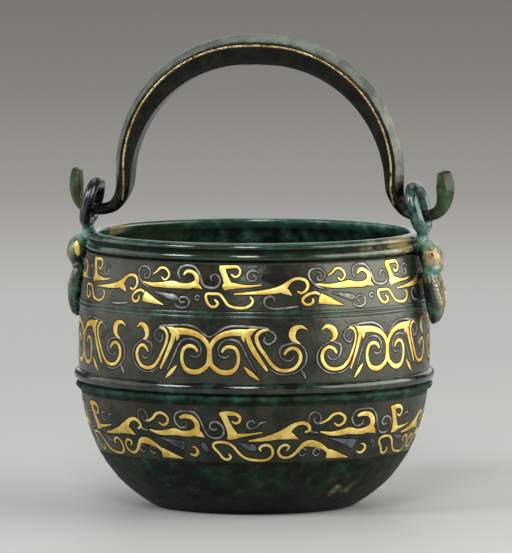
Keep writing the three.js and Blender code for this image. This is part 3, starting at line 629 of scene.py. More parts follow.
outline += moulding(*BEAD, BEAD_OUT, 12, 0.9, 0.03, pale=0.25, rough=0.05)
outline += groove(RIM[0], BEAD[1] + 0.1, RIM_BEAD[0] - 0.1)
outline += moulding(*RIM_BEAD, BEAD_OUT, 12, 0.95, 0.03, pale=0.4, rough=0.05)
# The rounded lip is pale teal and smooth: partly its patina, partly a painted highlight along its top edge.
outline += spots(ROUNDED_LIP, 1.0, 0.04, pale=0.85, rough=0.15)
outline += stretch(INSIDE_FOOT, LIP - 2.5, 60, 0.8, 0.12, radius=inner_wall, pale=0.05)[::-1]
outline += spots(FLOOR_EDGE, 0.7, 0.1)
outline += spots([(0, FLOOR)], 0.7, 0)
print("outline points", len(outline))

# %% [markdown]
# A Spin or a Screw modifier would turn the outline too. Geometry Nodes are used because the tree
# sweeps the outline round a circle and then roughens it in the same step: the bowl and the moulding
# under the hoop are lumpy with corrosion, and the inlaid bands are smooth. The outline carries
# those amounts with it, as attributes.

# %% The tree that turns the outline round the axis


def turning_tree():
    """Sweeps an outline round a small circle. Its points hold radius, height and finish."""
    sockets = [("Steps", "Int"), ("Circle", "Float"), ("Lump size", "Float"), ("Material", "Material")]
    tree, given = new_tree("turned_and_weathered", sockets)
    values = {"Resolution": given["Steps"], "Radius": given["Circle"]}
    circle = node(tree, "GeometryNodeCurvePrimitiveCircle", values)
    profile = node(tree, "GeometryNodeMeshToCurve", {0: given["Geometry"]})
    swept = node(tree, "GeometryNodeCurveToMesh", {"Curve": circle, "Profile Curve": profile})
    closed = node(tree, "GeometryNodeMergeByDistance", {"Geometry": swept, "Distance": 0.004 * MM})
    place = node(tree, "GeometryNodeInputPosition")
    scale = math_node(tree, "DIVIDE", 1.0, given["Lump size"])
    values = {"Vector": place, "Scale": scale, "Detail": 3.0, "Roughness": 0.6}
    noise = node(tree, "ShaderNodeTexNoise", values)
    amount = node(tree, "GeometryNodeInputNamedAttribute", {"Name": "lump"}, data_type="FLOAT")
    height = math_node(tree, "MULTIPLY", math_node(tree, "SUBTRACT", noise, 0.5), amount)
    height = math_node(tree, "MULTIPLY", height, 2 * MM)
    values = {0: node(tree, "GeometryNodeInputNormal"), "Scale": height}
    push = node(tree, "ShaderNodeVectorMath", values, operation="SCALE")
    moved = node(tree, "GeometryNodeSetPosition", {"Geometry": closed, "Offset": push})
    end_tree(tree, moved, given["Material"])
    return tree


TURNED = turning_tree()
print("tree", TURNED.name, "has", len(TURNED.nodes), "nodes")

# %% [markdown]
# The outline becomes a thin line of edges with its finish stored on the points. The modifier
# turns it, and the result is kept as a mesh that replaces the plain vessel of the construction
# model.

# %% The turned vessel
# A sweep needs a circle of some size, so the outline is drawn that much further in.
CIRCLE = 1.0
VESSEL_STEPS = 300
LUMP_SIZE = 4.2


def turned(name, rows, steps, lump_size, material):
    """A turned piece from rows of radius, height and finish."""
    rows = np.asarray(rows, float)
    mesh = bpy.data.meshes.new(name)
    points = np.column_stack([rows[:, 0] - CIRCLE, -rows[:, 1], np.zeros(len(rows))]) * MM
    mesh.from_pydata(points.tolist(), [(i, i + 1) for i in range(len(rows) - 1)], [])
    piece = add_object(name, mesh)
    for column, label in enumerate(FINISH_NAMES, start=2):
        store(piece, label, rows[:, column])
    modifier = piece.modifiers.new("turning", "NODES")
    modifier.node_group = TURNED
    set_inputs(modifier, steps=steps, circle=CIRCLE * MM, lump_size=lump_size * MM, material=material)
    piece = made_mesh(piece)
    shade(piece.data, smooth_below=50)
    return piece


vessel = turned("turned_vessel", outline, VESSEL_STEPS, LUMP_SIZE, BRONZE)
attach(vessel, "bucket")
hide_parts("bucket_body")
print("vessel", len(vessel.data.polygons), "faces, mm", [round(v * 1000, 2) for v in vessel.dimensions])

# %% [markdown]
# A tan crust doesn't go all the way round, so the outline can't carry it. It sits in three places,
# at the rim near each ear and low on the bowl, and is stored here, for each point. Then each face
# takes one of the three bronzes, by how rough its metal is. Three materials, and not one with a
# mask, keep the strength of the mirror a plain value that any other program can read.

# %% Crust and polish
# Angle round the wall and its reach, height where the crust begins, over how far it grows, and amount.
RIM_CRUSTS = [(-103, 10, 107, 4, 1), (74, 17, 105.5, 1.5, 0.75)]
# The same for the bowl, but with the middle of its height and its reach.
BOWL_CRUST = (54, 12, 11, 6, 0.4)
WORN_FROM, CORRODED_FROM = 0.45, 0.6


def near(value, middle, reach, power=2):
    """One at the middle, fading out at about the reach."""
    return np.exp(-(((value - middle) / reach) ** power))


x, y, z = read(vessel.data.vertices, "co", 3).T / MM
azimuth = np.degrees(np.arctan2(x, -y))
crust = 0
for angle, reach, low, growth, amount in RIM_CRUSTS:
    crust = crust + amount * near(azimuth, angle, reach) * np.clip((z - low) / growth, 0, 1)
angle, reach, height, height_reach, amount = BOWL_CRUST
crust = crust + amount * near(azimuth, angle, reach) * near(z, height, height_reach)
store(vessel, "crust", crust)

rough = read(vessel.data.attributes["rough"].data, "value")
first_corners = read(vessel.data.polygons, "loop_start", kind=int)
corner_points = read(vessel.data.loops, "vertex_index", kind=int)
slots = np.digitize(rough[corner_points[first_corners]], (WORN_FROM, CORRODED_FROM))
vessel.data.materials.append(WORN)
vessel.data.materials.append(CORRODED)
vessel.data.polygons.foreach_set("material_index", slots)
print("faces polished, worn and corroded:", np.bincount(slots).tolist())

# %% [markdown]
# ## The inlay
#
# The smith cut a channel for each scroll and beat gold or silver wire and sheet into it. The
# figures of a band come six times round the wall. Drawing all of them by hand, or bending flat
# meshes with a modifier, would be slow, so each figure is drawn once, flat, as a ribbon of changing
# width, and a Geometry Nodes tree wraps it onto the band and repeats it. Below, a point of a stroke
# is degrees from the middle of the repeat, millimetres over the band's foot, and the width there.
# A wire has one width, so its points leave that number out.

# %% Wires, mirrored strokes and small rings
FINE_WIRE = 0.8
WIRE_END = 0.6


def even(width, points):
    """A stroke of one width that tapers a little at its two ends."""
    shares = [WIRE_END] + [1] * (len(points) - 2) + [WIRE_END]
    return [(angle, rise, width * share) for (angle, rise), share in zip(points, shares)]


def fine(width, points):
    """A silver wire, drawn finer than a gold one."""
    return even(width * FINE_WIRE, points)


def mirrored(stroke):
    return [(-angle, rise, width) for angle, rise, width in stroke]


def ring_stroke(angle, rise, radius, width):
    """A small ring, nearly closed, on the upper or the lower band."""
    turns = np.radians(np.linspace(20, 330, 9))
    wide = math.degrees(radius / upper_band.middle)
    return fine(width, [(angle + wide * math.cos(t), rise + radius * math.sin(t)) for t in turns])


print("a small ring is a stroke of", len(ring_stroke(0, 5, 1, 0.8)), "points")

# %% [markdown]
# The middle band has a heart of two mirrored scrolls, a side scroll on its left and on its right,
# commas and leaves of gold, and silver wires that follow them.

# %% Strokes of the middle band
HEART_SIDE = [
    (-13.6, 20.9, 2.2), (-10.8, 20.8, 2.7), (-7.5, 20.7, 2.4), (-4, 19.6, 2), (-1.6, 17.4, 1.7),
    (-0.3, 14.6, 1.6), (-0.1, 11.2, 1.8), (-0.6, 7.6, 1.7), (-2.9, 5.1, 1.8), (-5.6, 4.4, 1.9),
    (-8.1, 5.6, 1.6), (-9.3, 8.6, 1.3), (-9.3, 11.9, 1.3), (-8.4, 14.2, 1.3), (-6.6, 15, 1.3),
    (-4.9, 14.3, 1.2), (-4.1, 12.9, 1),
]
HEART_CORNER = [(-14.9, 22.3, 0.3), (-12.6, 21, 2.4), (-11, 19, 2), (-11.2, 17.2, 0.5)]
HEART_LEG = [(-12.2, 20.4, 2), (-12.7, 17.6, 1.9), (-14.2, 13, 1.6), (-15.7, 9.2, 1.3), (-17.3, 5.4, 0.8)]
SIDE_SCROLL = [
    (-17.6, 22, 0.8), (-15.9, 21.3, 1.1), (-14.8, 19.2, 1.1), (-15.2, 15.8, 1.1), (-16.9, 11.5, 1.1),
    (-18.4, 8.2, 1.2), (-20.3, 5.9, 1.3), (-22.8, 5.2, 1.3), (-25.1, 6, 1.3), (-26.6, 8.3, 1.2),
    (-27, 11, 1.2), (-26.2, 13.5, 1.2), (-24.7, 14.4, 1.2), (-23.2, 13.5, 1.1), (-22.4, 12, 0.8),
]
COMMA = [
    (-27, 21.6, 0.3), (-25.5, 22.9, 1.5), (-23.5, 21.6, 2.3), (-22.8, 19.6, 2.2), (-23.2, 17.6, 1.4),
    (-24.3, 16.9, 0.5),
]
COMMA_RIGHT = [
    (28.9, 21.8, 0.3), (27.2, 23, 1.3), (25.4, 22.2, 2.2), (24.6, 20, 2.5), (25, 17.9, 1.8),
    (26.8, 16.1, 0.5),
]
LEAF = [(-11.4, 6.6, 0.6), (-13.2, 4.2, 1.7), (-15.3, 1.6, 0.5)]
MIDDLE_SILVER = [
    fine(0.95, [(-17.5, 22.5), (-15, 22.9), (-10, 23.4), (-6.5, 23.2), (-4, 22), (-1.8, 19.9), (0, 18.7)]),
    fine(0.9, [
        (-14.5, 5.1), (-12.5, 10.1), (-11, 14.1), (-9.5, 16.9), (-7, 17.9), (-4.5, 17.1), (-2.9, 14.4),
        (-3.2, 11.6), (-5, 10.5), (-6.3, 11.2),
    ]),
    fine(0.85, [
        (-17, 22.1), (-19.2, 20.6), (-19.8, 18.6), (-19, 16.9), (-17.5, 16.1), (-16.6, 17.3), (-16.8, 19.1),
    ]),
]
LEFT_SILVER = [
    fine(0.85, [(-24.3, 16.9), (-21, 15.1), (-20.9, 12.1), (-22, 9.8), (-24, 9.3), (-25.2, 10.7)]),
    fine(0.55, [
        (-24.6, 16.6), (-27.2, 14.5), (-28.4, 11), (-28, 7.5), (-26.4, 5), (-24, 3.7), (-20.5, 4), (-18, 6),
    ]),
]
RIGHT_SILVER = [
    fine(0.85, [(26.9, 16.2), (24.4, 16.3), (21.4, 14.8), (20.9, 12.1), (22, 9.8), (24, 9.3), (25.2, 10.7)]),
    fine(0.55, [
        (27, 15.9), (28.3, 13.6), (28.7, 10.5), (28.2, 7.5), (26.4, 5), (24, 3.7), (20.5, 4), (18, 6),
    ]),
    [(27.2, 5.4, 0.4), (27.9, 3.7, 1.1), (28.4, 2, 0.4)],
]
print("silver strokes of the middle band:", 2 * len(MIDDLE_SILVER) + len(LEFT_SILVER) + len(RIGHT_SILVER))

# %% [markdown]
# The upper band is a wavy scroll with a hook and a crest in it. Each of them has a short second
# stroke, its corner, because a ribbon can't turn sharply by itself.

# %% Strokes of the upper band
UPPER_HOOK = [
    (-25.4, 10.4, 0.6), (-21.8, 9.6, 1.4), (-17, 9.7, 2.2), (-13.6, 10, 2.8), (-10.4, 9.6, 2), (-7, 9.8, 2.2),
    (-5, 11.3, 2), (-5, 13.5, 1.6), (-6.7, 15.3, 1.3), (-8.6, 15.4, 1.2), (-9.6, 14.2, 0.8),
]
UPPER_HOOK_CORNER = [(-7, 9.3, 0.4), (-5, 9.8, 2), (-3.1, 8.8, 0.3)]
UPPER_CREST = [
    (8, 6.7, 0.6), (14.5, 7.2, 1.2), (20.6, 7.9, 2.2), (24, 9.1, 2.6), (25.9, 11.2, 1.4), (27.7, 12.5, 1.1),
    (29.6, 12.8, 1.1), (31.4, 11.9, 1.1), (32, 9.8, 1), (31.3, 7.8, 0.9), (30, 7, 0.9), (28.9, 7.6, 0.7),
]
UPPER_CREST_CORNER = [(22.6, 8.6, 2), (24.8, 7.9, 2.5), (26.8, 6.1, 0.3)]
UPPER_GOLD = [
    [
        (-21.5, 13.8, 0.5), (-20, 15, 0.8), (-18.8, 16.3, 1), (-17.3, 16.5, 0.9), (-15.8, 15.5, 0.9),
        (-15.1, 13.8, 0.8), (-16, 12.1, 0.8), (-17.1, 11.8, 0.7), (-17.9, 12.8, 0.5),
    ],
    [
        (3, 17.4, 1.6), (6, 17.6, 1.4), (9, 17.5, 1.1), (9.8, 16, 0.9), (9.4, 14.3, 0.9), (8, 13.6, 0.9),
        (6.9, 14.6, 0.7),
    ],
    [(3.6, 17.3, 2.6), (4.6, 14, 2.2), (5.6, 11, 3), (6.2, 9, 4.4)],
    [(4.2, 9.7, 1.8), (7, 10, 2.6), (9.5, 9.9, 1.6), (12.5, 9.8, 0.9), (16.8, 10.4, 0.4)],
    [
        (-26.8, 4.5, 0.6), (-26.7, 3.3, 0.8), (-27.7, 2.3, 0.9), (-29, 2.5, 0.9), (-29.7, 4, 0.9),
        (-28.5, 6, 1), (-26, 7, 1), (-24.8, 6.3, 0.9),
    ],
    [(-24.6, 4.6, 4.2), (-22, 3.6, 3), (-19.5, 2.6, 1.6), (-16.8, 1.7, 0.3)],
    even(1.05, [
        (1.5, 4.3), (2.5, 3), (2, 1.8), (0.5, 1.5), (-0.7, 2.7), (-1.5, 5), (-1.3, 6.5), (1, 6.7), (3, 6.5),
        (4.5, 4.5), (6, 2.2), (8.5, 1.2), (11.5, 1.2), (13.5, 2.5), (14, 4.2), (13.2, 5.5),
    ]),
]

UPPER_SILVER = [
    fine(1, [
        (-23, 8.4), (-25, 9.4), (-26.9, 11.6), (-27.6, 14.3), (-27, 16.2), (-25.2, 16.8), (-23.4, 15.9),
        (-22.7, 14), (-23.3, 12.3), (-24.6, 11.9), (-25.2, 13), (-24.6, 14),
    ]),
    fine(1, [
        (-11, 12.5), (-11.7, 14.5), (-11.3, 16.5), (-9, 17.8), (-6, 17.3), (-4.3, 15), (-3.3, 12), (-2.5, 10),
        (-0.5, 9.1), (2, 9.5), (3, 11.5), (2.7, 13.5), (1, 14.5), (0, 13.5), (0.2, 12),
    ]),
    fine(0.9, [
        (16.2, 15.3), (13.8, 16.2), (12.2, 14.9), (12.3, 12.9), (13.6, 11.9), (15, 12.4), (15, 13.8),
        (14, 14),
    ]),
    fine(1, [
        (21, 3.8), (21, 5), (19.5, 5.8), (18, 4.7), (17.9, 2.5), (19, 1.3), (22, 0.8), (26, 1.2), (28.8, 1.6),
    ]),
    fine(0.8, [
        (-12.5, 2.8), (-11.8, 1.4), (-9.5, 0.7), (-7.5, 1.8), (-7.4, 4), (-9, 5.2), (-10.8, 4.4), (-10.3, 3),
        (-9, 3),
    ]),
    [(-20, 6.6, 0.5), (-16, 5.6, 1.6), (-12.5, 4.6, 2.4), (-11.6, 4.2, 1)],
    ring_stroke(-4.4, 5, 0.9, 0.75),
]
print("finer strokes of the upper band:", len(UPPER_GOLD), "of gold,", len(UPPER_SILVER), "of silver")

# %% [markdown]
# The lower band repeats the idea of the upper one, larger, and adds a few sheets of dull silver.

# %% Strokes of the lower band
LOWER_HOOK = [
    (-23.2, 12.4, 0.6), (-19.5, 11.5, 1.6), (-15.6, 11.9, 2.4), (-13.2, 12.3, 2.8), (-10.4, 11.7, 2.2),
    (-7, 12, 2.5), (-5, 13.8, 2.3), (-5, 16.3, 2), (-6.5, 18.5, 1.8), (-8.8, 19, 1.7), (-10.7, 18.4, 1.1),
]
LOWER_HOOK_CORNER = [(-7, 11.2, 0.4), (-4.8, 12, 2.8), (-2.7, 10.5, 0.3)]
LOWER_CREST = [
    (12.8, 9.2, 0.7), (17, 9.8, 1.5), (21.4, 10.9, 2.6), (24.8, 12.4, 3.6), (27, 14.8, 2.2),
    (28.8, 16.1, 1.5), (30.8, 16.4, 1.4), (32.5, 15.2, 1.3), (32.9, 13.4, 1.1), (31.6, 12.6, 0.9),
]
LOWER_CREST_CORNER = [(23, 10.9, 2.2), (26.3, 11.3, 3), (29.4, 9.8, 0.3)]
LOWER_GOLD = [
    [
        (-23.7, 16, 0.7), (-21.5, 17.3, 1.1), (-19.5, 19.5, 1.2), (-17.5, 19.8, 1.1), (-15.5, 18, 1.1),
        (-15.7, 16, 1.1), (-17.5, 14.8, 1), (-19, 15.8, 0.6),
    ],
    [
        (3.2, 20.4, 1.4), (6, 20.6, 1.8), (8.6, 20.2, 1.4), (9.8, 18.8, 1.2), (9.3, 17, 1.1), (8, 16.6, 1),
        (7.2, 17.4, 0.7),
    ],
    [(4, 20.6, 2.6), (5, 18, 2.4), (6.2, 14.5, 2.6), (7.2, 11.5, 4.2), (7.4, 10.2, 5)],
    [(6.5, 11.2, 1.6), (9.5, 11.4, 1.5), (13, 11.9, 0.8), (17, 12.7, 0.4)],
    [
        (25.8, 5, 0.6), (26.6, 6.4, 0.9), (25.2, 7.4, 1), (23.4, 6.2, 1), (22.9, 4.2, 1), (24.1, 2.4, 1.1),
        (26.5, 2, 1.1), (28.6, 3.4, 1.2), (30.1, 5.6, 1.4), (31.6, 7.4, 2), (34, 7.7, 2.8), (36.5, 6.9, 2.2),
        (38.8, 5.4, 1.4), (40.3, 3.9, 1.4),
    ],
    [(40.2, 3.1, 4), (43, 2.4, 2.8), (45.5, 1.7, 1.5), (48, 1.1, 0.4)],
    even(1.1, [
        (5.5, 3.5), (6.2, 2.3), (5, 1.2), (3.5, 1.7), (2, 4), (0.2, 6.8), (1, 8.2), (5, 8.3), (7, 7),
        (9.5, 3.5), (11.5, 1.8), (15, 1), (19, 1.2), (20.8, 3), (20.8, 5.3), (19.5, 7.2), (17.7, 7.3),
        (16.3, 6), (16.8, 5),
    ]),
    [(-8.6, 3.2, 0.5), (-6.8, 2.6, 1.2), (-5.6, 4.2, 1.3), (-6.4, 6, 0.8), (-7.6, 6.4, 0.4)],
]
LOWER_SILVER = [
    fine(0.95, [
        (-8.5, 16.5), (-8.8, 14.8), (-10.8, 14.2), (-12.5, 16), (-12.8, 18.5), (-11.5, 20.5), (-8, 21),
        (-5.5, 20.5), (-3.8, 18), (-2.5, 14), (-1, 11), (2, 10.2), (3.6, 11.2), (4.3, 13.3), (3.6, 15.6),
        (1.8, 17), (0, 16.4),
        (-0.4, 14.6), (0.8, 13.6), (1.8, 14.2),
    ]),
    fine(0.95, [
        (-24.5, 12.2), (-26.2, 12.6), (-27.2, 14.5), (-27.6, 17.5), (-27, 20.2), (-25.6, 20.8), (-24, 19.5),
        (-23.6, 17.2), (-24.6, 16), (-25.8, 17), (-25.6, 18.6),
    ]),
    fine(0.9, [
        (18.5, 17.2), (16.5, 16.6), (15.2, 15), (13.6, 14.2), (12.2, 15.2), (12.4, 17), (13.9, 17.6),
        (14.6, 16.6),
    ]),
    ring_stroke(31.4, 4.2, 1.5, 0.85),
    ring_stroke(36.2, 4.0, 1.5, 0.85),
]
LOWER_SHEETS = [
    [(-20, 9.6, 0.3), (-15.6, 8.2, 1.8), (-11, 6.7, 3.8), (-10.4, 6.5, 3.4)],
    [(-3.8, 7.6, 1.4), (-2.8, 6.4, 2.2), (-2, 4.8, 1.4)],
    [(8.4, 8.5, 0.6), (11.6, 7.2, 2), (14, 6.2, 3), (14.8, 5.4, 1.6)],
]
print("finer strokes of the lower band:", len(LOWER_GOLD), "of gold,", len(LOWER_SILVER), "of silver wire")

# %% [markdown]
# A ribbon follows its stroke, with thin bevels at its edges. The bevels catch a line of light,
# which is what tells the eye that the metal is set in and not painted on. Each ribbon also gets a
# wider, lower one in black round it: a dark edge that is painted shade of the groove round the
# inlay. Where two strokes of a piece cross, the later one lies a hair higher, so that their tops
# don't flicker.

# %% Flat ribbons
STEPS_PER_POINT = 7
LEAST_WIDTH = 0.25
BEVEL = 0.09
ROOT = -0.3
END_OVERHANG, END_SHARE = 0.3, 0.35


def ribbon(stroke, band, top, margin=0.0):
    """A closed flat ribbon along a stroke: x along the wall, y up from the band's foot, z outwards."""
    stroke = np.array(stroke, float)
    points = np.column_stack([np.radians(stroke[:, 0]) * band.middle, stroke[:, 1], stroke[:, 2]])
    line = spline(points, STEPS_PER_POINT, even=False)
    along = np.gradient(line[:, :2], axis=0)
    along /= np.linalg.norm(along, axis=1, keepdims=True)
    overhang = END_OVERHANG + margin
    start = line[:1] - np.append(along[0], 0) * overhang
    end = line[-1:] + np.append(along[-1], 0) * overhang
    line = np.vstack([start, line, end])
    along = np.vstack([along[:1], along, along[-1:]])
    across = np.column_stack([-along[:, 1], along[:, 0]])
    half = np.maximum(line[:, 2], LEAST_WIDTH) / 2 + margin
    half[[0, -1]] *= END_SHARE
    edge = [(-1, 0, ROOT), (-1, 0, top * 0.4), (-1, 1, top)]
    section = [*edge, (0, 0, top), *[(-side, -eased, height) for side, eased, height in edge[::-1]]]
    rings = []
    for side, eased, height in section:
        offset = side * half + eased * np.minimum(BEVEL, half * 0.45)
        flat = line[:, :2] + across * offset[:, None]
        rings.append(np.column_stack([flat, np.full(len(flat), height)]))
    return skin(np.stack(rings, axis=1))


heart_points, heart_faces = ribbon(HEART_SIDE, middle_band, 0.045)
print("half a heart, flat:", np.ptp(heart_points, axis=0).round(2).tolist(), "mm,", len(heart_faces), "faces")

# %% [markdown]
# The tree bends the flat ribbons onto the band. It takes the wall's radius there, turns x into an
# angle, repeats the result round the axis, and then shifts each point to where the smith put it.
# Its last step reads a curve through the band's uneven places.

# %% The tree that wraps and repeats
# The most degrees that a figure may lie off, which is where the curve ends.
MOST_OFF = 10


def off_even(tree, azimuth, uneven):
    """How far the figures at an angle round the wall lie off their even place, in radians."""
    share = math_node(tree, "MULTIPLY_ADD", azimuth, 1 / (2 * math.pi), 0.5)
    curve = node(tree, "ShaderNodeFloatCurve", {"Value": share})
    points = curve.node.mapping.curves[0].points
    for _ in uneven[2:]:
        points.new(0.5, 0.5)
    for point, (angle, off) in zip(points, uneven):
        point.location = (angle / 360 + 0.5, off / MOST_OFF / 2 + 0.5)
        point.handle_type = "VECTOR"
    curve.node.mapping.update()
    return math_node(tree, "MULTIPLY", math_node(tree, "SUBTRACT", curve, 0.5), math.radians(2 * MOST_OFF))


def wrapping_tree(name, uneven):
    """Wraps a flat drawing onto a band, repeats it round the axis and sets it out unevenly."""
    lengths = ("Middle radius", "Foot height", "Foot radius", "Slope", "Bend")
    sockets = [("Repeats", "Int"), *[(label, "Float") for label in lengths], ("Material", "Material")]
    tree, given = new_tree(name, sockets)
    position = node(tree, "GeometryNodeInputPosition")
    parts = node(tree, "ShaderNodeSeparateXYZ", {0: position}).node.outputs
    radius = math_node(tree, "MULTIPLY_ADD", parts["Y"], given["Bend"], given["Slope"])
    radius = math_node(tree, "MULTIPLY_ADD", parts["Y"], radius, given["Foot radius"])
    radius = math_node(tree, "ADD", radius, parts["Z"])
    turn = math_node(tree, "DIVIDE", parts["X"], given["Middle radius"])
    x = math_node(tree, "MULTIPLY", radius, math_node(tree, "SINE", turn))
    y = math_node(tree, "MULTIPLY", radius, math_node(tree, "COSINE", turn))
    y = math_node(tree, "MULTIPLY", y, -1.0)
    z = math_node(tree, "ADD", parts["Y"], given["Foot height"])
    place = node(tree, "ShaderNodeCombineXYZ", {0: x, 1: y, 2: z})
    wrapped = node(tree, "GeometryNodeSetPosition", {"Geometry": given["Geometry"], "Position": place})
    points = node(tree, "GeometryNodePoints", {"Count": given["Repeats"]})
    step = math_node(tree, "DIVIDE", 2 * math.pi, given["Repeats"])
    angle = math_node(tree, "MULTIPLY", node(tree, "GeometryNodeInputIndex"), step)
    turned_by = node(tree, "ShaderNodeCombineXYZ", {2: angle})
    values = {"Points": points, "Instance": wrapped, "Rotation": turned_by}
    repeated = node(tree, "GeometryNodeInstanceOnPoints", values)
    repeated = node(tree, "GeometryNodeRealizeInstances", {0: repeated})
    azimuth = math_node(tree, "ARCTAN2", parts["X"], math_node(tree, "MULTIPLY", parts["Y"], -1.0))
    values = {"Vector": position, "Angle": off_even(tree, azimuth, uneven)}
    shifted = node(tree, "ShaderNodeVectorRotate", values, rotation_type="Z_AXIS")
    shifted = node(tree, "GeometryNodeSetPosition", {"Geometry": repeated, "Position": shifted})
    end_tree(tree, shifted, given["Material"])
    return tree


for label, band in bands.items():
    band.tree = wrapping_tree(f"wrap_and_repeat_{label}", band.uneven)
    print(band.tree.name, "has", len(band.tree.nodes), "nodes")

# %% [markdown]
# The hearts, side scrolls, hooks and crests are pieces of the construction model too, so these
# ribbons take their places there.

# %% The gold that the construction model has too
GOLD_TOP, WIRE_TOP, SHEET_TOP, CHANNEL_TOP, BARE_TOP = 0.045, 0.04, 0.035, 0.018, 0.012
LAYER, LAYERS = 0.003, 6


def inlay(name, strokes, band, material, top=GOLD_TOP, margin=0.0, repeats=REPEATS):
    """One piece of inlay: its strokes, wrapped onto their band and repeated round the pail."""
    skins = [ribbon(stroke, band, top + LAYER * (i % LAYERS), margin) for i, stroke in enumerate(strokes)]
    piece = add_mesh(name, *joined(skins), smooth_below=30)
    modifier = piece.modifiers.new("wrapping", "NODES")
    modifier.node_group = band.tree
    set_inputs(
        modifier, repeats=repeats, middle_radius=band.middle * MM, foot_height=band.foot * MM,
        foot_radius=band.start * MM, slope=band.slope, bend=band.bend / MM, material=material,
    )
    piece = made_mesh(piece)
    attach(piece, "bucket")
    return piece


def numbered(*names):
    return [f"{name}_{i}" for name in names for i in range(1, REPEATS + 1)]


def with_mirrored(*strokes):
    return [shape for stroke in strokes for shape in (stroke, mirrored(stroke))]


heart = with_mirrored(HEART_SIDE, HEART_LEG, HEART_CORNER)
scrolls = with_mirrored(SIDE_SCROLL)
upper_hook, upper_crest = [UPPER_HOOK, UPPER_HOOK_CORNER], [UPPER_CREST, UPPER_CREST_CORNER]
lower_hook, lower_crest = [LOWER_HOOK, LOWER_HOOK_CORNER], [LOWER_CREST, LOWER_CREST_CORNER]
GOLD_SETS = [
    ("gold_hearts", heart, middle_band, ["gold_heart"]),
    ("gold_side_scrolls", scrolls, middle_band, ["gold_side_scroll_left", "gold_side_scroll_right"]),
    ("gold_upper_hooks", upper_hook, upper_band, ["gold_upper_hook"]),
    ("gold_upper_crests", upper_crest, upper_band, ["gold_upper_crest"]),
    ("gold_lower_hooks", lower_hook, lower_band, ["gold_lower_hook"]),
    ("gold_lower_crests", lower_crest, lower_band, ["gold_lower_crest"]),
]
for name, strokes, band, nodes in GOLD_SETS:
    piece = inlay(name, strokes, band, GOLD)
    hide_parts(*numbered(*nodes))
    print(name, len(piece.data.polygons), "faces")

# %% [markdown]
# The finer gold and the silver are thin trim that only this script has. In front, a dark patch of
# the upper band has lost its inlay and its polish, and that one isn't repeated.

# %% The finer gold, the silver and the bare patch
middle_gold = [COMMA, COMMA_RIGHT, LEAF, mirrored(LEAF)]
middle_silver = [*MIDDLE_SILVER, *map(mirrored, MIDDLE_SILVER), *LEFT_SILVER, *RIGHT_SILVER]
FINE_SETS = [
    ("gold_commas_and_leaves", middle_gold, middle_band, GOLD, GOLD_TOP),
    ("gold_upper_curls", UPPER_GOLD, upper_band, GOLD, GOLD_TOP),
    ("gold_lower_curls", LOWER_GOLD, lower_band, GOLD, GOLD_TOP),
    ("silver_middle_wires", middle_silver, middle_band, SILVER, WIRE_TOP),
    ("silver_upper_wires", UPPER_SILVER, upper_band, SILVER, WIRE_TOP),
    ("silver_lower_wires", LOWER_SILVER, lower_band, SILVER, WIRE_TOP),
    ("silver_lower_sheets", LOWER_SHEETS, lower_band, SHEET_SILVER, SHEET_TOP),
]
for name, strokes, band, material, top in FINE_SETS:
    piece = inlay(name, strokes, band, material, top)
    print(name, len(piece.data.polygons), "faces")

BARE_PATCH = [
    (17, 13.4, 1.2), (18.2, 13.3, 3.1), (20.2, 13.0, 4.2), (22.6, 13.2, 4.6), (24.6, 13.5, 3.6),
    (26.2, 13.3, 1.4),
]
bare_patch = inlay("bare_patch", [BARE_PATCH], upper_band, BLACK, BARE_TOP, repeats=1)
print("bare patch", len(bare_patch.data.polygons), "faces")

# %% [markdown]
# The black round each stroke is painted shade: the shadow of a groove round the inlay, laid on as
# a flat black ribbon. So the same strokes are used once more, wider and lower.

# %% The channels
CHANNEL_MARGIN = 0.42
CHANNEL_SETS = [
    ("channels_middle", [*heart, *scrolls, *middle_gold, *middle_silver], middle_band),
    ("channels_upper", [*upper_hook, *upper_crest, *UPPER_GOLD, *UPPER_SILVER], upper_band),
    ("channels_lower", [*lower_hook, *lower_crest, *LOWER_GOLD, *LOWER_SILVER, *LOWER_SHEETS], lower_band),
]
for name, strokes, band in CHANNEL_SETS:
    piece = inlay(name, strokes, band, BLACK, CHANNEL_TOP, CHANNEL_MARGIN)
    print(name, len(piece.data.polygons), "faces")

# %% [markdown]
# ## The ears
#
# Each ear is one casting: a cicada that clings to the wall with its tail down, a neck behind its
# head, and a ring that stands on the neck and leans inwards. Sculpting it would be natural, but a
# script repeats better. So the insect is a loft of oval slices, the ring is a swept bar, and a voxel
# remesh melts them into one skin, with the soft joins of a casting. Both ears come from the same
# functions, which take the side, because the real right ear is fuller than the left one.

# %% The ring
SIDES = {"right": 1, "left": -1}
RING_LEAN = math.radians(14)
RING_BAR, RING_DEPTH = 4.6, 4.7
RING_HALF_WIDTH, RING_HALF_HEIGHT, RING_SQUARENESS = 7.8, 8.1, 2.5
RING_FOOT = LIP + 0.4
# How much the rings are stouter than their holes need: round their outline, and on their outer face.
FULLER, FULLER_FACE = {"right": 0.9, "left": 0.6}, {"right": 0.9, "left": 0.0}
RING_MIDDLE = RING_FOOT + (RING_HALF_HEIGHT + RING_BAR / 2) * math.cos(RING_LEAN)
EAR_GAP = 0.3
RIM_OUT = wall(RIM[0]) + 0.5
RING_OUT = RIM_OUT + EAR_GAP + RING_DEPTH / 2 - RING_HALF_HEIGHT * math.sin(RING_LEAN)
# The outline's first point lies just beside the top, so that none falls on a corner of its formula.
FIRST_TURN = 0.01


def squared(value):
    """Turns the sine or cosine of a circle into that of a rounded square."""
    return np.sign(value) * np.abs(value) ** (2 / RING_SQUARENESS)


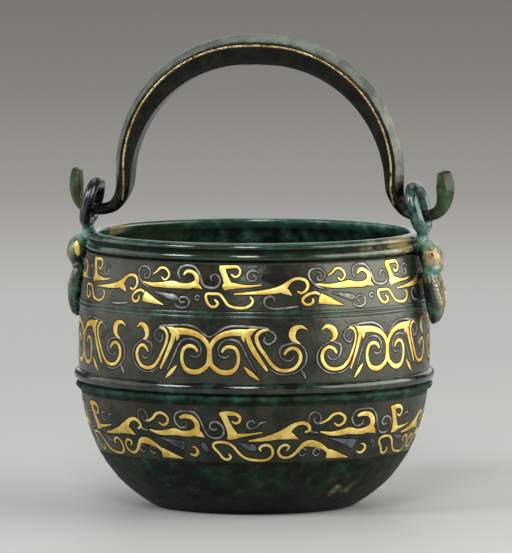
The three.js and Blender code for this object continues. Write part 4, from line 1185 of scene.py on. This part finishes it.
def ring_skin(side):
    """The standing ring, a rounded square in outline, with a round bar."""
    up = np.array([-math.sin(RING_LEAN), 0, math.cos(RING_LEAN)])
    out = np.array([math.cos(RING_LEAN), 0, math.sin(RING_LEAN)])
    across = np.array([0, 1, 0])
    turns = np.linspace(0, 2 * math.pi, 96, endpoint=False) + FIRST_TURN
    middle = np.array([RING_OUT, 0, RING_MIDDLE])
    centres = middle + np.outer(RING_HALF_WIDTH * squared(np.sin(turns)), across)
    centres = centres + np.outer(RING_HALF_HEIGHT * squared(np.cos(turns)), up)
    along = np.roll(centres, -1, 0) - np.roll(centres, 1, 0)
    away = -np.cross(along, out)
    away /= np.linalg.norm(away, axis=1, keepdims=True)
    around = np.linspace(0, 2 * math.pi, 32, endpoint=False)
    full = np.where(np.cos(around) > 0, RING_BAR / 2 + FULLER[side], RING_BAR / 2)
    thick = np.where(np.sin(around) > 0, RING_DEPTH / 2 + FULLER_FACE[side], RING_DEPTH / 2)
    wide = away[:, None] * (full * np.cos(around))[None, :, None]
    deep = out[None, None] * (thick * np.sin(around))[None, :, None]
    return skin(centres[:, None] + wide + deep, closed=True)


print("ring's middle", round(RING_MIDDLE, 2), "mm high and", round(float(RING_OUT), 2), "mm from the axis")

# %% [markdown]
# The insect is a stack of oval slices. Its body grows wider upwards, draws in at a waist, and ends
# in a round head. A spline through the slices rounds it lengthways, and the same slices later tell
# where the eyes and the gold lines lie on it.

# %% The slices of the cicada
HEAD_DEPTH, HEAD_WIDTH, HEAD_HEIGHT = 9.4, 15.6, 13.4
HEAD_TOP = LIP - 2.2
HEAD_MIDDLE, HEAD_FOOT = HEAD_TOP - HEAD_HEIGHT / 2, HEAD_TOP - HEAD_HEIGHT
BODY_DEPTH, BODY_WIDTH, BODY_HEIGHT = 6.6, 12.8, 21.4
# How full each ear is: its body's depth and width, and how little its waist draws in.
FULLNESS = {"right": (1.2, 1.2, 0.88), "left": (1.0, 1.0, 0.6)}
STANDOFF = 1.0
# Shares of the body's height, its depth and its width, from the tail up. The last one is the waist.
BODY_SLICES = [
    (0, 0.2, 0.12), (0.1, 0.5, 0.44), (0.3, 0.8, 0.76), (0.55, 0.96, 0.95), (0.8, 1, 1), (0.95, 0.88, 0.86),
]
# Heights of the head's slices, as shares of its half height, from its middle.
HEAD_SLICES = (-0.8, -0.5, -0.1, 0.3, 0.65, 0.9, 0.985)


def ear_slices(side):
    """Height, depth, width and inset of the cicada, from the tail's tip up to the crown of the head."""
    deep, wide, waist = FULLNESS[side]
    rows = []
    for rise, depth, width in BODY_SLICES:
        if rise == BODY_SLICES[-1][0]:
            depth, width = max(depth, waist), max(width, waist)
        height = HEAD_FOOT - BODY_HEIGHT * (1 - rise)
        inset = BODY_DEPTH * (1 - depth) / 3
        rows.append((height, BODY_DEPTH * deep * depth, BODY_WIDTH * wide * width, inset))
    for rise in HEAD_SLICES:
        share = math.sqrt(1 - rise * rise)
        if rise < 0:
            share = max(share, waist)
        height = HEAD_MIDDLE + HEAD_HEIGHT / 2 * rise
        rows.append((height, HEAD_DEPTH * share, HEAD_WIDTH * share, HEAD_DEPTH * (1 - share) / 2))
    return spline(rows, 9)


SLICES = {side: ear_slices(side) for side in SIDES}


def slice_at(side, place):
    """Height, depth, width and inset at a place along the slices."""
    return (np.interp(place, np.arange(len(SLICES[side])), SLICES[side][:, i]) for i in range(4))


def place_at(side, height):
    """The place along the slices that has a height."""
    return float(np.interp(height, SLICES[side][:, 0], np.arange(len(SLICES[side]))))


def cicada_point(side, place, turn):
    """A point of the insect: place runs up its slices, and turn goes round from its outer side."""
    height, depth, width, inset = slice_at(side, place)
    inner = wall(height) + STANDOFF + inset
    round_x = np.sign(np.cos(turn)) * abs(np.cos(turn)) ** 0.9
    x = inner + depth / 2 * (1 + round_x)
    return np.stack([x, width / 2 * np.sin(turn), height + 0 * turn], -1)


print("each cicada has", len(SLICES["right"]), "slices")

# %% [markdown]
# The folded wings stand up from the body by half a millimetre. They meet in a V down the back and
# end at the tail. Their edges are soft steps in a formula, so that the remesh below keeps them.

# %% The wings and the neck
WING_TOP, WING_TIP = HEAD_FOOT - 0.6, HEAD_FOOT - BODY_HEIGHT + 0.8
WING_RELIEF = 0.5
# Turns, in radians from the outer side, of the V at the tail, of how far it opens, and of the outer edge.
V_FOOT, V_OPENING, V_BEND = 0.16, 0.95, 1.6
OUTER_EDGE, OUTER_DRAW = 1.72, 0.5
INNER_SOFTNESS, OUTER_SOFTNESS = 0.045, 0.06
NECK_WIDTH, NECK_THICKNESS, NECK_WAIST = 7.6, 4.6, 0.12


def inner_edge(down):
    """The turn where a wing begins, at a share of its way down."""
    return V_FOOT + V_OPENING * (1 - down) ** V_BEND


def wing_relief(height, turn):
    """How far the folded wings stand up."""
    down = np.clip((WING_TOP - height) / (WING_TOP - WING_TIP), 0, 1)
    outer_edge = OUTER_EDGE - OUTER_DRAW * down
    raised = 1 / (1 + np.exp(-(abs(turn) - inner_edge(down)) / INNER_SOFTNESS))
    raised = raised / (1 + np.exp((abs(turn) - outer_edge) / OUTER_SOFTNESS))
    return WING_RELIEF * raised * ((height < WING_TOP) & (height > WING_TIP))


def cicada_skin(side):
    """The insect with its folded wings."""
    turns = np.linspace(-math.pi, math.pi, 88, endpoint=False)
    away = np.stack([np.cos(turns), np.sin(turns), 0 * turns], -1)
    rings = []
    for place in np.linspace(0, len(SLICES[side]) - 1, 150):
        relief = wing_relief(next(slice_at(side, place)), turns)
        rings.append(cicada_point(side, place, turns) + away * relief[:, None])
    return skin(rings)


def neck_skin():
    """The strap from the head to the ring, close against the rim."""
    heights = np.linspace(HEAD_MIDDLE, RING_FOOT + RING_BAR / 2, 12)
    turns = np.linspace(0, 2 * math.pi, 40, endpoint=False)
    x = RIM_OUT + EAR_GAP + NECK_THICKNESS / 2 * (1 + np.cos(turns))
    waists = 1 - NECK_WAIST * np.sin(np.linspace(0, math.pi, len(heights)))
    rings = []
    for height, waist in zip(heights, waists):
        rings.append(np.stack([x, NECK_WIDTH / 2 * waist * np.sin(turns), height + 0 * turns], -1))
    return skin(rings)


wing_middle = wing_relief((WING_TOP + WING_TIP) / 2, np.array([1.0]))
print("wings stand up by", round(float(wing_middle[0]), 2), "mm at their middle")

# %% [markdown]
# The three skins overlap, and the remesh makes one skin of them. A light smoothing then takes the
# small steps of the voxels away. The metal is told apart by place: the neck is greenest and palest,
# partly a painted highlight, the back is rubbed, and the ring, above the lip, has a metal of its own.

# %% The castings
VOXEL = 0.24
# How green the head and each ring are, and how far out on the body the rubbed back begins.
HEAD_GREEN, RING_GREEN = 0.4, {"right": 0.5, "left": 0.1}
RUBBED_FROM = {"right": 0.95, "left": 0.62}
# Reach of the neck's pale green, partly a painted highlight, and of the right ear's collar and dome.
NECK_REACH, COLLAR_REACH, DOME_REACH = 3.4, 2.2, 4.6
DOME_FROM = 3.2
RING_METAL = {"right": RING_TEAL, "left": RING_BLACK}
RING_METAL_FROM = LIP + 1.5


def placed(points, side):
    """Points of the right-hand ear, turned by half a turn for the left-hand one."""
    return np.asarray(points) * np.array([SIDES[side], SIDES[side], 1])


def cast_ear(side):
    """One ear as one skin."""
    points, faces = joined([cicada_skin(side), ring_skin(side), neck_skin()])
    ear = add_mesh(f"{side}_cicada_ear", placed(points, side), faces)
    remesh = ear.modifiers.new("melt", "REMESH")
    remesh.mode = "VOXEL"
    remesh.voxel_size = VOXEL * MM
    remesh.use_smooth_shade = True
    ease = ear.modifiers.new("ease", "SMOOTH")
    ease.factor = 0.5
    ease.iterations = 4
    ear = made_mesh(ear)
    ear.data.materials.clear()
    ear.data.materials.append(EAR_BRONZE)
    ear.data.materials.append(RING_METAL[side])
    return ear


def finish_ear(ear, side):
    """Where the ear is green, where it is rubbed to a brassy tan, and which faces are its ring. The neck's
    pale green is partly a painted highlight.
    """
    x, _, z = placed(read(ear.data.vertices, "co", 3) / MM, side).T
    above = np.clip((z - HEAD_TOP - 3) / 2.5, 0, 1)
    # The neck is paler green: partly patina, partly a painted highlight on the neck against the rim.
    neck = near(z, HEAD_TOP - 1, NECK_REACH)
    rubbed = np.clip((x - wall(z) - STANDOFF - BODY_DEPTH * RUBBED_FROM[side]) / 2, 0, 1) * (z < HEAD_TOP - 1)
    if side == "right":
        collar = near(z, HEAD_FOOT + 0.5, COLLAR_REACH)
        dome = near(z, HEAD_MIDDLE + 0.5, DOME_REACH, 4) * np.clip((x - wall(z) - DOME_FROM) / 2, 0, 1)
        rubbed = np.maximum(rubbed, dome) * (1 - 0.9 * collar)
    else:
        collar = 0
        rubbed = rubbed * 0.5
    store(ear, "green", mix(HEAD_GREEN, RING_GREEN[side], above) + 0.7 * neck + 0.5 * collar)
    store(ear, "gilt", rubbed)
    middles = read(ear.data.polygons, "center", 3)
    ear.data.polygons.foreach_set("material_index", (middles[:, 2] / MM > RING_METAL_FROM).astype(int))


for side in SIDES:
    ear = cast_ear(side)
    finish_ear(ear, side)
    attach(ear, "bucket")
    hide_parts(f"{side}_ear")
    # The rivet is plain, so it stays as the construction model has it, in the bail's bronze.
    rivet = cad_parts[f"{side}_ear_rivet"]
    rivet.data.materials.clear()
    rivet.data.materials.append(BAIL_BRONZE)
    print(ear.name, len(ear.data.polygons), "faces")

# %% [markdown]
# The eyes are almonds of gold, one on each side of the head, and gold lines run along the edges of
# the wings and over the brows. All of them follow the insect's skin, so they are made from the same
# function that shaped it. The right ear's eyes are smaller and sit nearer its outer side.

# %% Eyes and gold lines
# Half the height and half the length of an eye, and the turn where it sits.
EYE_SIZE = {"right": (2.3, 1.5), "left": (3.3, 1.5)}
EYE_TURN = {"right": 1.2, "left": 1.8}
EYE_UP, EYE_LEAN, EYE_SUNK, EYE_POINT = 0.6, 0.12, 0.25, 1.25
# The dome of an eye: share of its size, and height over its edge.
EYE_SLICES = [(1.0, -1.4), (1.0, 0.0), (0.93, 0.3), (0.75, 0.5), (0.45, 0.65), (0.15, 0.7)]
LINE_TOP, LINE_ROOT, LEAST_HALF = 0.12, -0.5, 0.12
WING_LINE_WIDTH, WING_LINE_INSET, BROW_LINE_WIDTH = 0.75, 0.13, 0.7
# Share of the wing's way down, and share of the line's width there.
WING_LINE = [(0.03, 0.5), (0.25, 1), (0.5, 1), (0.75, 0.8), (0.97, 0.4)]
# Height over the head's middle, turn, and share of the line's width there.
BROW_LINE = [(3.4, 0.25, 0.5), (1.2, 0.55, 1), (-1.8, 0.5, 0.9), (-4.2, 0.16, 0.4)]


def strip_section(half, root, top, edge, flat):
    """Points across a gold strip: its root in the bronze, its edge, and its flat top."""
    left = [(-half, root), (-half, top * edge), (-half * flat, top)]
    return left + [(-across, rise) for across, rise in left[::-1]]


def on_skin_ribbon(side, path, width):
    """A gold ribbon on the insect. Its path is place, turn and share of the width."""
    path = spline(path, 10)
    centres = np.array([cicada_point(side, place, turn) for place, turn, _ in path])
    rings = []
    for i, (place, turn, share) in enumerate(path):
        ahead, behind = centres[min(i + 1, len(path) - 1)], centres[max(i - 1, 0)]
        along = (ahead - behind) / np.linalg.norm(ahead - behind)
        out = np.array([math.cos(turn), math.sin(turn), 0.0])
        across = np.cross(out, along)
        across /= np.linalg.norm(across)
        lift = wing_relief(next(slice_at(side, place)), np.array([turn]))[0]
        section = strip_section(max(width * share / 2, LEAST_HALF), LINE_ROOT, LINE_TOP, 0.5, 0.6)
        rings.append([centres[i] + across * aside + out * (lift + rise) for aside, rise in section])
    return skin(rings)


def eye_skin(side, turn):
    """A domed almond whose upper end leans outwards."""
    centre = cicada_point(side, place_at(side, HEAD_MIDDLE + EYE_UP), np.array([turn]))[0]
    half_height, half_length = EYE_SIZE[side]
    out = np.array([math.cos(turn), math.sin(turn), 0.0])
    up = np.array([EYE_LEAN, 0.0, 1.0]) / math.hypot(EYE_LEAN, 1.0)
    turns = np.linspace(0, 2 * math.pi, 36, endpoint=False)
    pointed = np.abs(np.cos(turns)) ** EYE_POINT * np.sign(np.cos(turns))
    rings = []
    for share, rise in EYE_SLICES:
        ring = centre + np.outer(half_height * share * pointed, up)
        ring = ring + np.outer(half_length * share * np.sin(turns), np.cross(out, up))
        rings.append(ring + out * (rise - EYE_SUNK))
    return skin(rings)


for side in SIDES:
    for letter, face in (("a", -1), ("b", 1)):
        points, faces = eye_skin(side, face * EYE_TURN[side])
        eye = add_mesh(f"{side}_gold_eye_{letter}", placed(points, side), faces)
        eye.data.materials.append(GOLD if side == "left" else RUBBED_GOLD)
        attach(eye, "bucket")
        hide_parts(f"{side}_ear_eye_{letter}")
    gold_lines = []
    for face in (-1, 1):
        wing_edge = []
        for down, share in WING_LINE:
            place = place_at(side, WING_TOP - (WING_TOP - WING_TIP) * down)
            wing_edge.append((place, face * (inner_edge(down) + WING_LINE_INSET), share))
        brow = [(place_at(side, HEAD_MIDDLE + up), face * turn, share) for up, turn, share in BROW_LINE]
        gold_lines.append(on_skin_ribbon(side, wing_edge, WING_LINE_WIDTH))
        gold_lines.append(on_skin_ribbon(side, brow, BROW_LINE_WIDTH))
    points, faces = joined(gold_lines)
    lines = add_mesh(f"{side}_ear_gold_lines", placed(points, side), faces)
    lines.data.materials.append(RUBBED_GOLD)
    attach(lines, "bucket")
    print(side, "ear: two eyes and", len(gold_lines), "gold lines")

# %% [markdown]
# ## The bail
#
# The bail is one forged and chased bar. It is widest at the crown, where a hand takes it, flat
# inside and gabled outside. Its legs turn out, run through the rings as round bars, and hook up to a
# leaf. A curve with a bevel object can't change its section like that, so the bar is a loft: its
# centre line and its section are given at a few stations, and a spline fills in between. The two
# leaves of the real bail differ, so each half of the bar has its own sizes there.

# %% Stations of the bail
ARCH_RADIUS, BAIL_HEIGHT = 58.1, 188.7
SHOULDER_OUT, SHOULDER_UP = 0.8, 1.0
BAIL_SHIFT = 2.2
CROWN_THICKNESS, LEG_THICKNESS, THICKENING = 12.7, 7.2, 0.8
CROWN_WIDTH, LEG_WIDTH = 11.0, 9.6
GABLE_RISE = 3.0
TURN_OUT_HEIGHT = 10.6
HOOK_DIAMETER, HOOK_CLEARANCE = 4.8, 0.35
HOOK_REACH, HOOK_RISE = {"right": 9.05, "left": 8.7}, {"right": 18.8, "left": 17.4}
LEAF_THICKNESS, LEAF_WIDTH = {"right": 7.4, "left": 5.7}, {"right": 9.0, "left": 8.2}
LEAF_END = {"right": 0.75, "left": 0.7}
# Where the legs turn out: shares of the way out to the hook and of the height left, and roundness.
TURN_OUT = [(0.03, 0.8, 0.15), (0.13, 0.48, 0.5), (0.34, 0.17, 0.85), (0.66, 0.02, 1), (1, 0, 1)]
# Where the hooks rise: shares of their reach and of their rise, and roundness.
HOOK_UP = [(0.36, 0.015, 1), (0.72, 0.125, 0.75), (0.96, 0.35, 0.3), (1.02, 0.63, 0), (0.95, 1, 0)]
ring_bar_half = math.hypot(math.cos(RING_LEAN) * RING_BAR, math.sin(RING_LEAN) * RING_DEPTH) / 2
ring_sill = RING_MIDDLE - RING_HALF_HEIGHT * math.cos(RING_LEAN) + ring_bar_half
AXIS_HEIGHT = ring_sill + HOOK_CLEARANCE + HOOK_DIAMETER / 2
HOOK_OUT = RING_OUT + (RING_MIDDLE - AXIS_HEIGHT) * math.tan(RING_LEAN)


def arch_and_hook(side):
    """Stations of one half: out, height over the axis, thickness, width, roundness, the gable's side."""
    rows = []
    arch_rise = BAIL_HEIGHT - AXIS_HEIGHT - TURN_OUT_HEIGHT
    for turn in np.linspace(math.pi / 2, 0, 9):
        share = math.sin(turn)
        out = ARCH_RADIUS * math.cos(turn) + SHOULDER_OUT * math.sin(2 * turn)
        rise = TURN_OUT_HEIGHT + arch_rise * share + SHOULDER_UP * math.sin(2 * turn)
        thick = mix(LEG_THICKNESS, CROWN_THICKNESS, share**THICKENING)
        rows.append((out, rise, thick, mix(LEG_WIDTH, CROWN_WIDTH, share), 0, 1))
    for out, rise, roundness in TURN_OUT:
        thick = mix(LEG_THICKNESS, HOOK_DIAMETER, roundness)
        wide = mix(LEG_WIDTH, HOOK_DIAMETER, roundness)
        rows.append((mix(ARCH_RADIUS, HOOK_OUT, out), TURN_OUT_HEIGHT * rise, thick, wide, roundness, 1))
    for out, rise, roundness in HOOK_UP:
        end = LEAF_END[side] if rise == 1 else 1
        thick = mix(LEAF_THICKNESS[side], HOOK_DIAMETER, roundness) * end
        wide = mix(LEAF_WIDTH[side], HOOK_DIAMETER, roundness) * end
        rows.append((HOOK_OUT + HOOK_REACH[side] * out, HOOK_RISE[side] * rise, thick, wide, roundness, -1))
    return np.array(rows)


print("stations of each half:", len(arch_and_hook("right")), "hook", round(float(HOOK_OUT), 2), "mm out")

# %% [markdown]
# The section goes from a gabled bar to a round one and back, and on the hooks the gable is on the
# other side. So it is drawn twice, once with corners and once as a circle, and mixed. A few passes
# that average neighbours ease the corners as years of handling did.

# %% The section along the bar
STEPS_PER_STATION = 12
SMOOTHED_OVER = 7
STEPS_PER_EDGE, EASING_PASSES = 6, 2
# The gable's slopes reach this far round from its ridge, in radians.
GABLE_REACH = 0.95


def bar_frame(side):
    """Centre, outward normal and section at each step of one half, from the crown out."""
    stations = arch_and_hook(side)
    centres = spline(stations[:, :2], STEPS_PER_STATION, even=False)
    shares = np.linspace(0, len(stations) - 1, len(centres))
    average = np.ones(SMOOTHED_OVER) / SMOOTHED_OVER
    sections = []
    for column in stations[:, 2:].T:
        along_bar = np.interp(shares, np.arange(len(stations)), column)
        sections.append(np.convolve(np.pad(along_bar, SMOOTHED_OVER // 2, "edge"), average, "valid"))
    along = np.gradient(centres, axis=0)
    along /= np.linalg.norm(along, axis=1, keepdims=True)
    along[0] = (1, 0)
    normals = np.column_stack([-along[:, 1], along[:, 0]])
    return centres, normals, np.column_stack(sections)


def bar_section(thick, wide, roundness, gable_side):
    """Points round the bar, as height along its normal and distance across, and which are the gable's."""
    half, across = thick / 2, wide / 2
    gable = min(GABLE_RISE, half) * abs(gable_side)
    top = half - gable if gable_side > 0 else half
    bottom = -half + gable if gable_side < 0 else -half
    corners = [(half, 0), (top, across), (0, across), (bottom, across)]
    corners += [(-half, 0), (bottom, -across), (0, -across), (top, -across)]
    corners = np.array(corners)
    points = []
    for corner, following in zip(corners, np.roll(corners, -1, 0)):
        points += [mix(corner, following, step / STEPS_PER_EDGE) for step in range(STEPS_PER_EDGE)]
    points = np.array(points)
    for _ in range(EASING_PASSES):
        points = (np.roll(points, 1, 0) + 2 * points + np.roll(points, -1, 0)) / 4
    turns = np.linspace(0, 2 * math.pi, len(points), endpoint=False)
    circle = np.column_stack([half * np.cos(turns), across * np.sin(turns)])
    from_ridge = np.abs((turns + math.pi) % (2 * math.pi) - math.pi)
    on_gable = np.clip(1 - from_ridge / GABLE_REACH, 0, 1)
    return mix(points, circle, roundness), np.minimum(on_gable * 4, 1)


section, on_gable = bar_section(CROWN_THICKNESS, CROWN_WIDTH, 0, 1)
print("a section has", len(section), "points,", int((on_gable > 0).sum()), "of them on the gable")

# %% [markdown]
# Each half is made from the crown out, and the left one is then mirrored. The slices go through
# one skin, so the bar has no seam at its crown. Each point also keeps how far it is on the pale
# gable, chalky and partly painted light, and how far on a leaf, for the material.

# %% The bar
LEAF_STARTS = HOOK_OUT + 3.5
MIRROR = np.array([-1, 1, 1])
# The gable's chalk and painted light fade in over this height of the legs, and below it all sides have a
# little.
CHALK_SHEEN_RISE, CHALK_SHEEN_BEND, CHALK_SHEEN_BELOW = 20, 0.7, 0.3
# How green the sides of a leaf are beside its gable.
LEAF_SIDES = {"right": 0.55, "left": 1.0}
# Over the last steps a tip closes to a blunt point.
BLUNT_STEPS, BLUNTEST = 3, 0.02


def in_bar(centre, normal, section):
    """Points of a section, out along the normal and across, put at their place on the bar."""
    return [(centre[0] + normal[0] * out, across, centre[1] + normal[1] * out) for out, across in section]


def tip_narrowing(steps_left):
    return math.sqrt(max(1 - (1 - min(steps_left / BLUNT_STEPS, 1)) ** 2, BLUNTEST))


def bar_rings(side):
    """Slices of one half, with how far each point is on the chalky, painted-light gable, and how leafy it is.
    """
    centres, normals, shapes = bar_frame(side)
    rings, chalk_sheens, leaves = [], [], []
    for step, (centre, normal, shape) in enumerate(zip(centres, normals, shapes)):
        thick, wide, roundness, gable_side = shape
        section, on_gable = bar_section(thick, wide, min(max(roundness, 0), 1), gable_side)
        rings.append(in_bar(centre, normal, section * tip_narrowing(len(centres) - 1 - step)))
        arch = np.clip((centre[1] - TURN_OUT_HEIGHT) / CHALK_SHEEN_RISE, 0, 1) ** CHALK_SHEEN_BEND
        chalk_sheens.append(on_gable * arch + (1 - arch) * CHALK_SHEEN_BELOW)
        leaf = np.clip((centre[0] - LEAF_STARTS) / 3, 0, 1)
        leaves.append(leaf * mix(LEAF_SIDES[side], 1, on_gable))
    return np.array(rings), np.array(chalk_sheens), np.array(leaves)


def both_halves(left, right):
    """Rows of the whole bail, from the left end to the right one. The crown's row comes once."""
    return np.concatenate([left[1:][::-1], right])


def swung(points):
    """Points given in the bail's own frame, moved to where the bail hangs."""
    return np.asarray(points) + np.array([BAIL_SHIFT, 0, AXIS_HEIGHT])


left, right = bar_rings("left"), bar_rings("right")
points, faces = skin(both_halves(left[0] * MIRROR, right[0]))
bar = add_mesh("forged_bail", swung(points), faces, smooth_below=32)
bar.data.materials.append(BAIL_BRONZE)
for label, row in (("green", 1), ("leaf", 2)):
    # The skin added a middle point at each end, and those two get a half.
    store(bar, label, np.append(both_halves(left[row], right[row]).ravel(), [0.5, 0.5]))
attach(bar, "bail")
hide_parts("bail_handle")
print("bail", len(bar.data.polygons), "faces, mm", [round(v * 1000, 1) for v in bar.dimensions])

# %% [markdown]
# A line of gold is let into each flat face of the bail, low under the edge of the gable. It is a
# thin loft on the same centre line, and a wider black one under it is painted shade of the groove
# round the gold.

# %% The bail's gold lines
LINE_WIDTH, LINE_FROM_EDGE, LINE_CHANNEL = 0.8, 1.4, 0.45
LINE_STEPS = 10 * STEPS_PER_STATION


def line_rings(side, face, half, top, root):
    """A strip along one face of one half, out to where the bar turns round."""
    centres, normals, shapes = bar_frame(side)
    rings = []
    for centre, normal, shape in zip(centres[: LINE_STEPS + 1], normals, shapes):
        thick, wide, roundness, _ = shape
        middle = thick / 2 - GABLE_RISE - LINE_FROM_EDGE - LINE_WIDTH / 2
        round_face = math.sqrt(max(1 - (2 * middle / thick) ** 2, 0))
        out = wide / 2 * mix(1, round_face, roundness)
        section = strip_section(half, root, top, 0.3, 0.65)[::-1]
        section = [(middle + aside, face * (out + rise)) for aside, rise in section]
        rings.append(in_bar(centre, normal, section))
    return np.array(rings)


def bail_strip(name, face, half, top, root, material):
    """A strip over the whole bail. Face is -1 for the front and 1 for the back."""
    left, right = (line_rings(side, face, half, top, root) for side in ("left", "right"))
    points, faces = skin(both_halves(left * MIRROR, right))
    strip = add_mesh(name, swung(points), faces)
    strip.data.materials.append(material)
    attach(strip, "bail")
    return strip


for face, label in ((-1, "front"), (1, "back")):
    gold_line = bail_strip(f"gold_line_{label}", face, LINE_WIDTH / 2, 0.12, -0.7, RUBBED_GOLD)
    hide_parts(f"bail_gold_line_{label}")
    channel = bail_strip(f"bail_channel_{label}", face, LINE_WIDTH / 2 + LINE_CHANNEL, 0.04, -0.4, BLACK)
    print("gold line at the", label, len(gold_line.data.polygons), "faces")

# %% [markdown]
# ## Floor, light and camera
#
# The pail stands on a plain pale sweep that darkens with distance. A curved paper could be
# modelled, but a flat floor with a ramp of tones over the distance gives the same picture and
# can't cut into the pail. Near the pail the lamps light it. Further off it has a fixed soft tone,
# for the camera and for what mirrors it.

# %% The floor
FLOOR_REACH = 9.0
SEEN_FROM, SEEN_FULLY = 0.2, 1.0
# Share of the floor's reach, and the colour there. The first tone, right round the pail, is a little
# darker than the next: painted shade round the pail's foot.
FLOOR_TONES = [
    (0.0, (0.5, 0.505, 0.49)), (0.05, (0.53, 0.54, 0.51)), (0.11, (0.5, 0.5, 0.475)),
    (0.19, (0.33, 0.32, 0.3)), (0.3, (0.235, 0.226, 0.21)), (0.45, (0.19, 0.182, 0.167)),
]


def floor_finish():
    """Pale paper: lit near the pail, and a fixed soft tone far off."""
    material, tree, shader, place = new_metal("pale_sweep", (0.6, 0.6, 0.58), 0.0, 0.55)
    distance = node(tree, "ShaderNodeVectorMath", {0: place}, out="Value", operation="LENGTH")
    ramp = node(tree, "ShaderNodeValToRGB", {0: math_node(tree, "DIVIDE", distance, FLOOR_REACH)})
    steps = ramp.node.color_ramp.elements
    for share, colour in FLOOR_TONES[2:]:
        steps.new(share)
    for step, (share, colour) in zip(steps, FLOOR_TONES):
        step.position = share
        step.color = (*colour, 1)
    tree.links.new(ramp, shader.inputs["Base Color"])
    path = node(tree, "ShaderNodeLightPath").node.outputs
    seen = math_node(tree, "MAXIMUM", path["Is Camera Ray"], path["Is Glossy Ray"])
    seen = math_node(tree, "MAXIMUM", seen, path["Is Transmission Ray"])
    share = math_node(tree, "MULTIPLY", seen, between(tree, distance, SEEN_FROM, SEEN_FULLY))
    glow = node(tree, "ShaderNodeEmission", {"Color": ramp, "Strength": 1.0})
    mixed = node(tree, "ShaderNodeMixShader", {0: share, 1: shader.outputs[0], 2: glow})
    output = next(n for n in tree.nodes if n.type == "OUTPUT_MATERIAL")
    tree.links.new(mixed, output.inputs["Surface"])
    return material


sweep_mesh = bpy.data.meshes.new("pale_sweep")
corners = [(FLOOR_REACH * x, FLOOR_REACH * y, 0) for x, y in ((-1, -1), (1, -1), (1, 1), (-1, 1))]
sweep_mesh.from_pydata(corners, [], [(0, 1, 2, 3)])
sweep_mesh.materials.append(floor_finish())
sweep = add_object("pale_sweep", sweep_mesh)
print("floor", 2 * FLOOR_REACH, "m wide")

# %% [markdown]
# Polished dark metal shows only what it mirrors, so the panels, and not its colour, make it read as
# metal. A big bright panel stands on the right and a weaker one on the left, and the front stays
# dark. A cool key panel, high at the front left, lights the crown of the bail and throws the shadow.
# A small lamp high in front gives the short lights on the beads and on the hoop, a lower one wakes
# the gold, and the last two open up the inside and the back.

# %% Lamps and the world
# Azimuth in degrees, 0 in front and 90 on the right; distance, height, width and tallness in metres;
# radiance; and colour.
LAMPS = {
    "right_panel": (96, 1.1, 0.42, 1.7, 0.84, 4.2, (1, 0.97, 0.9)),
    "left_panel": (-84, 1.1, 0.42, 1.4, 0.84, 1.1, (1, 0.975, 0.93)),
    "front_lamp": (8, 1.2, 1.0, 0.36, 0.36, 16.0, (1, 1, 1)),
    "key_panel": (-42, 1.7, 1.0, 0.55, 0.55, 17.0, (0.9, 0.96, 1.0)),
    "gold_lamp": (10, 1.5, 0.68, 0.34, 0.3, 14.0, (1, 1, 1)),
    "top_panel": (190, 0.5, 1.2, 0.9, 0.7, 1.5, (1, 1, 1)),
    "back_panel": (185, 1.3, 0.5, 1.2, 0.7, 0.9, (1, 1, 1)),
}
LAMPS_AIM = Vector((0, 0, 0.08))
WORLD_GREY = 0.1


def around_pail(azimuth, distance, height):
    """A place in metres. The azimuth is in radians, 0 in front and to the right from there."""
    return Vector((math.sin(azimuth) * distance, -math.cos(azimuth) * distance, height))


def aimed(made, place, aim):
    """Puts a lamp or a camera at a place and turns it towards its aim."""
    made.location = place
    made.rotation_euler = (aim - made.location).to_track_quat("-Z", "Y").to_euler()


for name, (azimuth, distance, height, width, tall, radiance, colour) in LAMPS.items():
    lamp = bpy.data.lights.new(name, "AREA")
    lamp.shape = "RECTANGLE"
    lamp.size, lamp.size_y = width, tall
    lamp.energy = radiance * math.pi * width * tall
    lamp.color = colour
    panel = add_object(name, lamp)
    panel.visible_camera = False
    aimed(panel, around_pail(math.radians(azimuth), distance, height), LAMPS_AIM)
    print(name, round(lamp.energy, 2), "W")

world = bpy.data.worlds.new("studio")
bpy.context.scene.world = world
world.use_nodes = True
world.node_tree.nodes["Background"].inputs["Color"].default_value = (WORLD_GREY, WORLD_GREY, WORLD_GREY, 1)
world.node_tree.nodes["Background"].inputs["Strength"].default_value = 1.0

# %% [markdown]
# The camera stands far off with a long lens, so the vessel's rim is a flat oval and its sides
# hardly converge. It looks from a little to the right, so the line through the ears is turned.

# %% The camera
CAMERA_AZIMUTH = math.radians(14.5)
CAMERA_DISTANCE, CAMERA_HEIGHT = 3.5, 0.393
AIM_HEIGHT, AIM_RIGHT = 0.0944, 0.0007
SENSOR, LENS = 36, 553.0

camera_data = bpy.data.cameras.new("camera")
camera_data.sensor_width = SENSOR
camera_data.lens = LENS
camera = add_object("camera", camera_data)
to_the_right = Vector((math.cos(CAMERA_AZIMUTH), math.sin(CAMERA_AZIMUTH), 0))
aim = Vector((0, 0, AIM_HEIGHT)) + to_the_right * AIM_RIGHT
aimed(camera, around_pail(CAMERA_AZIMUTH, CAMERA_DISTANCE, CAMERA_HEIGHT), aim)
bpy.context.scene.camera = camera
bpy.context.scene.view_settings.view_transform = "Standard"
print("camera at", [round(v, 3) for v in camera.location], "m")
